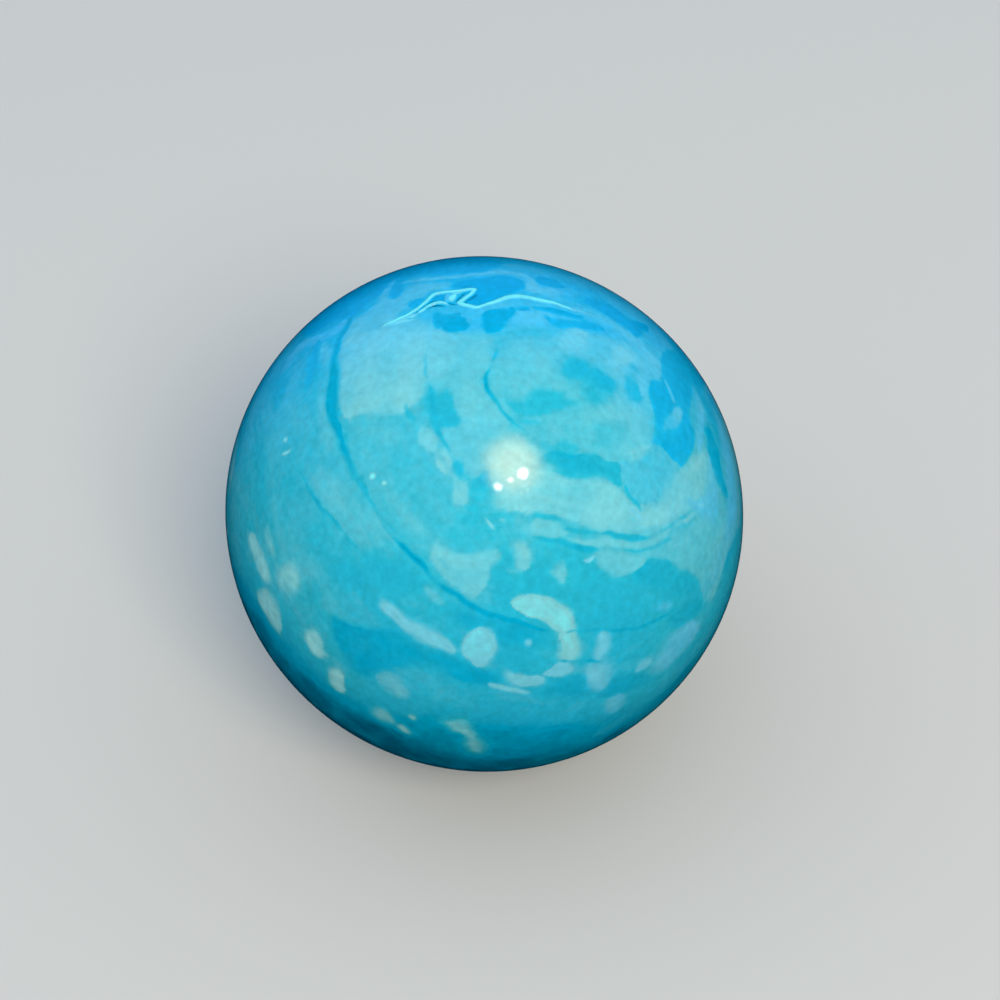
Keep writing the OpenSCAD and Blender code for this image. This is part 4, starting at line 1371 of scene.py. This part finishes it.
def fold_relief(places, fold):
    """Height of the fold's lips and grooves at each place, in metres."""
    height = np.zeros(len(places))
    spots = wander(places * RADIUS_MM, SLIGHT_WAVER)
    for mark in fold.marks:
        near = mark.nearby(places)
        rise = LIP_HEIGHT * mark.cover(spots[near]) * (1 if mark.tone > 0 else -GROOVE_SHARE)
        height[near] = np.where(np.abs(rise) > np.abs(height[near]), rise, height[near])
    return height


# ---------------------------------------------------------------- glass

def glass_material(look):
    """Opaque swirled glass: tone and azure from the painted attributes, with fine mottling."""
    material = bpy.data.materials.new("turquoise_swirl_glass")
    material.use_nodes = True
    nodes = Nodes(material.node_tree)
    place = nodes.add("ShaderNodeTexCoord").outputs["Object"]

    def mottle(size, detail, amount):
        """Cloudy noise of about a size, in millimetres."""
        inputs = {"Scale": 1 / (size * MM), "Detail": detail, "Vector": place}
        cloud = nodes.add("ShaderNodeTexNoise", inputs)
        return nodes.math("MULTIPLY_ADD", cloud.outputs["Fac"], 2 * amount, -amount)

    def wisps(width, length, amount):
        """Streaks drawn out along the swirl, of about a width and length in millimetres."""
        across = nodes.math("MULTIPLY", nodes.painted("swirl"), length * MM / width)
        inputs = {"Scale": 1 / (length * MM), "Detail": 2.0, "Vector": place, "W": across}
        cloud = nodes.add("ShaderNodeTexNoise", inputs, noise_dimensions="4D")
        return nodes.math("MULTIPLY_ADD", cloud.outputs["Fac"], 2 * amount, -amount)

    tone = nodes.painted("milk")
    for variation in (*(mottle(*cloud) for cloud in CLOUDS), *(wisps(*wisp) for wisp in WISPS)):
        tone = nodes.math("ADD", tone, variation)
    azure = nodes.spread(nodes.painted("azure"), 0.0, 1.0)
    creamy = nodes.spread(nodes.painted("azure"), 0.0, -1.0)
    deep = nodes.blend(azure, look.deep_teal, look.deep_azure)
    plain = nodes.blend(creamy, nodes.blend(azure, look.teal, look.azure), look.moss)
    milk = nodes.blend(creamy, nodes.blend(azure, look.milk, look.sky_milk), look.cream)
    swirls = nodes.blend(nodes.spread(tone, -1.0, 0.0), deep, plain)
    swirls = nodes.blend(nodes.spread(tone, 0.0, 1.0), swirls, milk)
    # The lip colour is partly a painted highlight; the darkest colour is also painted shade in the fold's
    # grooves and along the lower rim.
    swirls = nodes.blend(nodes.spread(tone, *TO_LIP), swirls, look.lip)
    swirls = nodes.blend(nodes.spread(tone, *TO_DARK_LINE_AND_SHADE), swirls, look.dark_line_and_shade)
    grain = nodes.math("ADD", *(mottle(*cloud) for cloud in GRAIN))
    depth = nodes.math("MULTIPLY_ADD", grain, nodes.spread(tone, 0.9, -0.9, 0.9, 1.1), 1.0)
    shader = nodes.tree.nodes["Principled BSDF"]
    nodes.set(shader.inputs["Base Color"], nodes.scale(swirls, depth))
    shader.inputs["Roughness"].default_value = look.roughness
    shader.inputs["IOR"].default_value = 1.5
    shader.inputs["Subsurface Weight"].default_value = 0.12
    shader.inputs["Subsurface Radius"].default_value = (0.3, 0.8, 1.0)
    shader.inputs["Subsurface Scale"].default_value = 0.25 * MM
    return material


def make_marble(look):
    """The whole ball: blown up, refined where marks have edges, painted and let down to its skin."""
    ink = Ink()
    draw_trails(ink)
    draw_hidden(ink, look.seed)
    draw_face(ink)
    fold = Ink()
    draw_fold(fold)
    glass = glass_material(look)
    mesh = run_tree(bpy.data.meshes.new("seed"), ball_tree(),
                    {"Radius": RADIUS, "Cells": look.cells, "Glass": glass})
    for marks, least, most, within in (     # within is in millimetres round thin streaks
        (fold.marks, 0.05, 400, 0.3),
        (ink.marks, 0.08, 8200, 0.2),
        (ink.marks, 0.08, 11200, 0.0),
        (fold.marks, 0.05, 1600, 0.03),
    ):
        refine(mesh, marks, least, most, within)
    split_many_sided(mesh)
    places = directions(mesh)
    tone, azure = paint(places, ink.marks)
    store(mesh, "milk", tone)
    store(mesh, "azure", azure)
    store(mesh, "swirl", swirl_run(places))
    store(mesh, "relief", fold_relief(places, fold))
    right, up, _ = FRONT
    skin = run_tree(mesh, skin_tree(), {
        "Radius": RADIUS, "Inset": look.skin_inset, "Out of round": look.out_of_round,
        "Flat direction": Vector(right * math.cos(FLAT_LEAN) + up * math.sin(FLAT_LEAN)),
        "Ripple height": look.ripple_height, "Ripple size": look.ripple_size, "Glass": glass})
    skin.name = "glass_marble"
    skin.shade_smooth()
    triangles = sum(len(f.vertices) - 2 for f in skin.polygons)
    if triangles > MOST_TRIANGLES:
        raise RuntimeError(f"the marble has {triangles} triangles: use fewer cells")
    marble = bpy.data.objects.new("glass_marble", skin)
    bpy.context.scene.collection.objects.link(marble)
    return marble


# ---------------------------------------------------------------- stage

def make_floor(stage):
    """A plain pale floor under the marble, which far away turns into the even backdrop."""
    half = FLOOR_HALF * RADIUS
    low = CENTRE.z - RADIUS
    mesh = bpy.data.meshes.new("floor")
    mesh.from_pydata(
        [(-half, -half, low), (half, -half, low), (half, half, low), (-half, half, low)],
        [], [(0, 1, 2, 3)])
    material = bpy.data.materials.new("pale_floor")
    material.use_nodes = True
    nodes = Nodes(material.node_tree)
    shader = nodes.tree.nodes["Principled BSDF"]
    nodes.set(shader.inputs["Base Color"], stage.floor)
    shader.inputs["Roughness"].default_value = 0.8
    shader.inputs["Specular IOR Level"].default_value = 0.2
    apart = nodes.vector("LENGTH", nodes.add("ShaderNodeTexCoord").outputs["Object"])
    near, far = FADE
    faded = nodes.spread(apart, near * RADIUS, far * RADIUS, kind="SMOOTHSTEP")
    even = nodes.add("ShaderNodeEmission", {"Color": BACKDROP}).outputs[0]
    surface = nodes.either(faded, shader.outputs[0], even)
    nodes.set(nodes.tree.nodes["Material Output"].inputs["Surface"], surface)
    mesh.materials.append(material)
    floor = bpy.data.objects.new("floor", mesh)
    bpy.context.scene.collection.objects.link(floor)
    floor.visible_diffuse = False
    floor.visible_glossy = False


def from_face(across, up, out):
    """A place given along the face's own directions from the ball's centre."""
    right, top, outward = FRONT
    return CENTRE + Vector(right * across + top * up + outward * out)


def make_lamp(name, place, size, power, colour, glossy=True, diffuse=True):
    """A round area light that looks at the ball."""
    light = bpy.data.lights.new(name, "AREA")
    light.shape = "DISK"
    light.size = size
    light.energy = power
    light.color = colour
    lamp = bpy.data.objects.new(name, light)
    lamp.location = place
    lamp.rotation_euler = (place - CENTRE).to_track_quat("Z", "Y").to_euler()
    lamp.visible_glossy = glossy
    lamp.visible_diffuse = diffuse
    bpy.context.scene.collection.objects.link(lamp)
    return lamp


def mirror_place(across, up, reach, stage):
    """Where a lamp has to stand for the camera to see its reflection at a spot of the face."""
    normal = lift([(across, up)])[0]
    spot = RADIUS * normal
    sight = stage.distance * RADIUS * FRONT[2] - spot
    sight /= np.linalg.norm(sight)
    return CENTRE + Vector(spot + reach * (2 * (normal @ sight) * normal - sight))


def fade_out(light):
    """Makes a round light dim from near its middle to its edge."""
    light.use_nodes = True
    nodes = Nodes(light.node_tree)
    where = nodes.add("ShaderNodeNewGeometry").outputs["Parametric"]
    apart = nodes.vector("LENGTH", nodes.vector("SUBTRACT", where, (0.5, 0.5, 0.0)))
    dimmed = nodes.spread(apart, *SHADE_DIMS, 1.0, 0.0, kind="SMOOTHSTEP")
    nodes.set(nodes.tree.nodes["Emission"].inputs["Strength"], dimmed)


def make_lights(stage):
    """A warm key beside the camera, a cool sky above and behind, and the lamps that the glass mirrors."""
    key_place = from_face(*(LAMP_REACH * way for way in KEY_WAY))
    make_lamp("key", key_place, KEY_SIZE, stage.lamp_power, KEY_COLOUR, glossy=False)
    make_lamp("sky", CENTRE + Vector(SKY_PLACE), SKY_SIZE, stage.sky_power, SKY_COLOUR, glossy=False)
    shade_place = mirror_place(*SHADE_SPOT, LAMP_REACH, stage)
    shade = make_lamp("shade", shade_place, SHADE_SIZE, SHADE_POWER, SHADE_COLOUR, diffuse=False)
    fade_out(shade.data)
    for number, (across, up, size, glare) in enumerate(BULBS):
        place = mirror_place(across, up, LAMP_REACH * BULB_NEARER, stage)
        make_lamp(f"bulb_{number}", place, size, glare * size ** 2, BULB_COLOUR, diffuse=False)


def make_room(stage):
    """The even light of the room, which comes mostly from above, and the plain backdrop that is seen."""
    world = bpy.data.worlds.new("room")
    world.use_nodes = True
    nodes = Nodes(world.node_tree)
    heading = nodes.add("ShaderNodeTexCoord").outputs["Generated"]
    sides = nodes.add("ShaderNodeSeparateXYZ", {0: heading}).outputs
    power = nodes.spread(sides["Z"], *ROOM_HEIGHTS, stage.room_below, stage.room_above, "SMOOTHSTEP")
    behind = nodes.spread(sides["Y"], *MIRRORED_WAYS, *MIRRORED_SHARES, "SMOOTHSTEP")
    rays = nodes.add("ShaderNodeLightPath").outputs
    light = nodes.blend(rays["Is Glossy Ray"], ROOM_LIGHT, nodes.scale(ROOM_MIRRORED, behind))
    room = nodes.tree.nodes["Background"]
    nodes.set(room.inputs["Strength"], power)
    nodes.set(room.inputs["Color"], light)
    pale = nodes.add("ShaderNodeBackground", {"Color": BACKDROP}).outputs[0]
    surface = nodes.either(rays["Is Camera Ray"], room.outputs[0], pale)
    nodes.set(nodes.tree.nodes["World Output"].inputs["Surface"], surface)
    bpy.context.scene.world = world


def make_camera(stage):
    """The camera in front of the face, aimed a little up and right of the ball's middle."""
    data = bpy.data.cameras.new("camera")
    data.lens = stage.lens
    data.sensor_width = SENSOR
    data.clip_start = 0.001
    camera = bpy.data.objects.new("camera", data)
    bpy.context.scene.collection.objects.link(camera)
    place = from_face(0, 0, stage.distance * RADIUS)
    aim = from_face(*(RADIUS * share for share in AIM), 0)
    camera.location = place
    camera.rotation_euler = (aim - place).to_track_quat("-Z", "Y").to_euler()
    bpy.context.scene.camera = camera


# ---------------------------------------------------------------- operators and panel

class MARBLE_OT_glass(bpy.types.Operator):
    """Make the swirled glass ball in the place of the plain one"""

    bl_idname = "marble.glass"
    bl_label = "Make Marble"

    def execute(self, context):
        marble = make_marble(context.scene.marble_glass)
        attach(marble, "root")
        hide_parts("marble")
        return {"FINISHED"}


class MARBLE_OT_stage(bpy.types.Operator):
    """Make the floor, lights and camera"""

    bl_idname = "marble.stage"
    bl_label = "Make Stage"

    def execute(self, context):
        stage = context.scene.marble_stage
        make_floor(stage)
        make_room(stage)
        make_lights(stage)
        make_camera(stage)
        context.scene.view_settings.view_transform = "Standard"
        return {"FINISHED"}


class MARBLE_PT_panel(bpy.types.Panel):
    """The marble and its stage"""

    bl_label = "Marble"
    bl_idname = "MARBLE_PT_panel"
    bl_space_type = "VIEW_3D"
    bl_region_type = "UI"
    bl_category = "Marble"

    def draw(self, context):
        for group, operator in (("marble_glass", "marble.glass"), ("marble_stage", "marble.stage")):
            settings = getattr(context.scene, group)
            box = self.layout.box()
            for name in settings.__annotations__:
                box.prop(settings, name)
            box.operator(operator)


CLASSES = (MarbleGlass, MarbleStage, MARBLE_OT_glass, MARBLE_OT_stage, MARBLE_PT_panel)


def register():
    """Registers the classes and hangs the settings on the scene."""
    for cls in CLASSES:
        bpy.utils.register_class(cls)
    bpy.types.Scene.marble_glass = bpy.props.PointerProperty(type=MarbleGlass)
    bpy.types.Scene.marble_stage = bpy.props.PointerProperty(type=MarbleStage)


def unregister():
    """Takes back what register did."""
    del bpy.types.Scene.marble_glass
    del bpy.types.Scene.marble_stage
    for cls in reversed(CLASSES):
        bpy.utils.unregister_class(cls)


def main():
    register()
    bpy.ops.marble.glass()
    bpy.ops.marble.stage()


if __name__ == "__main__":
    main()
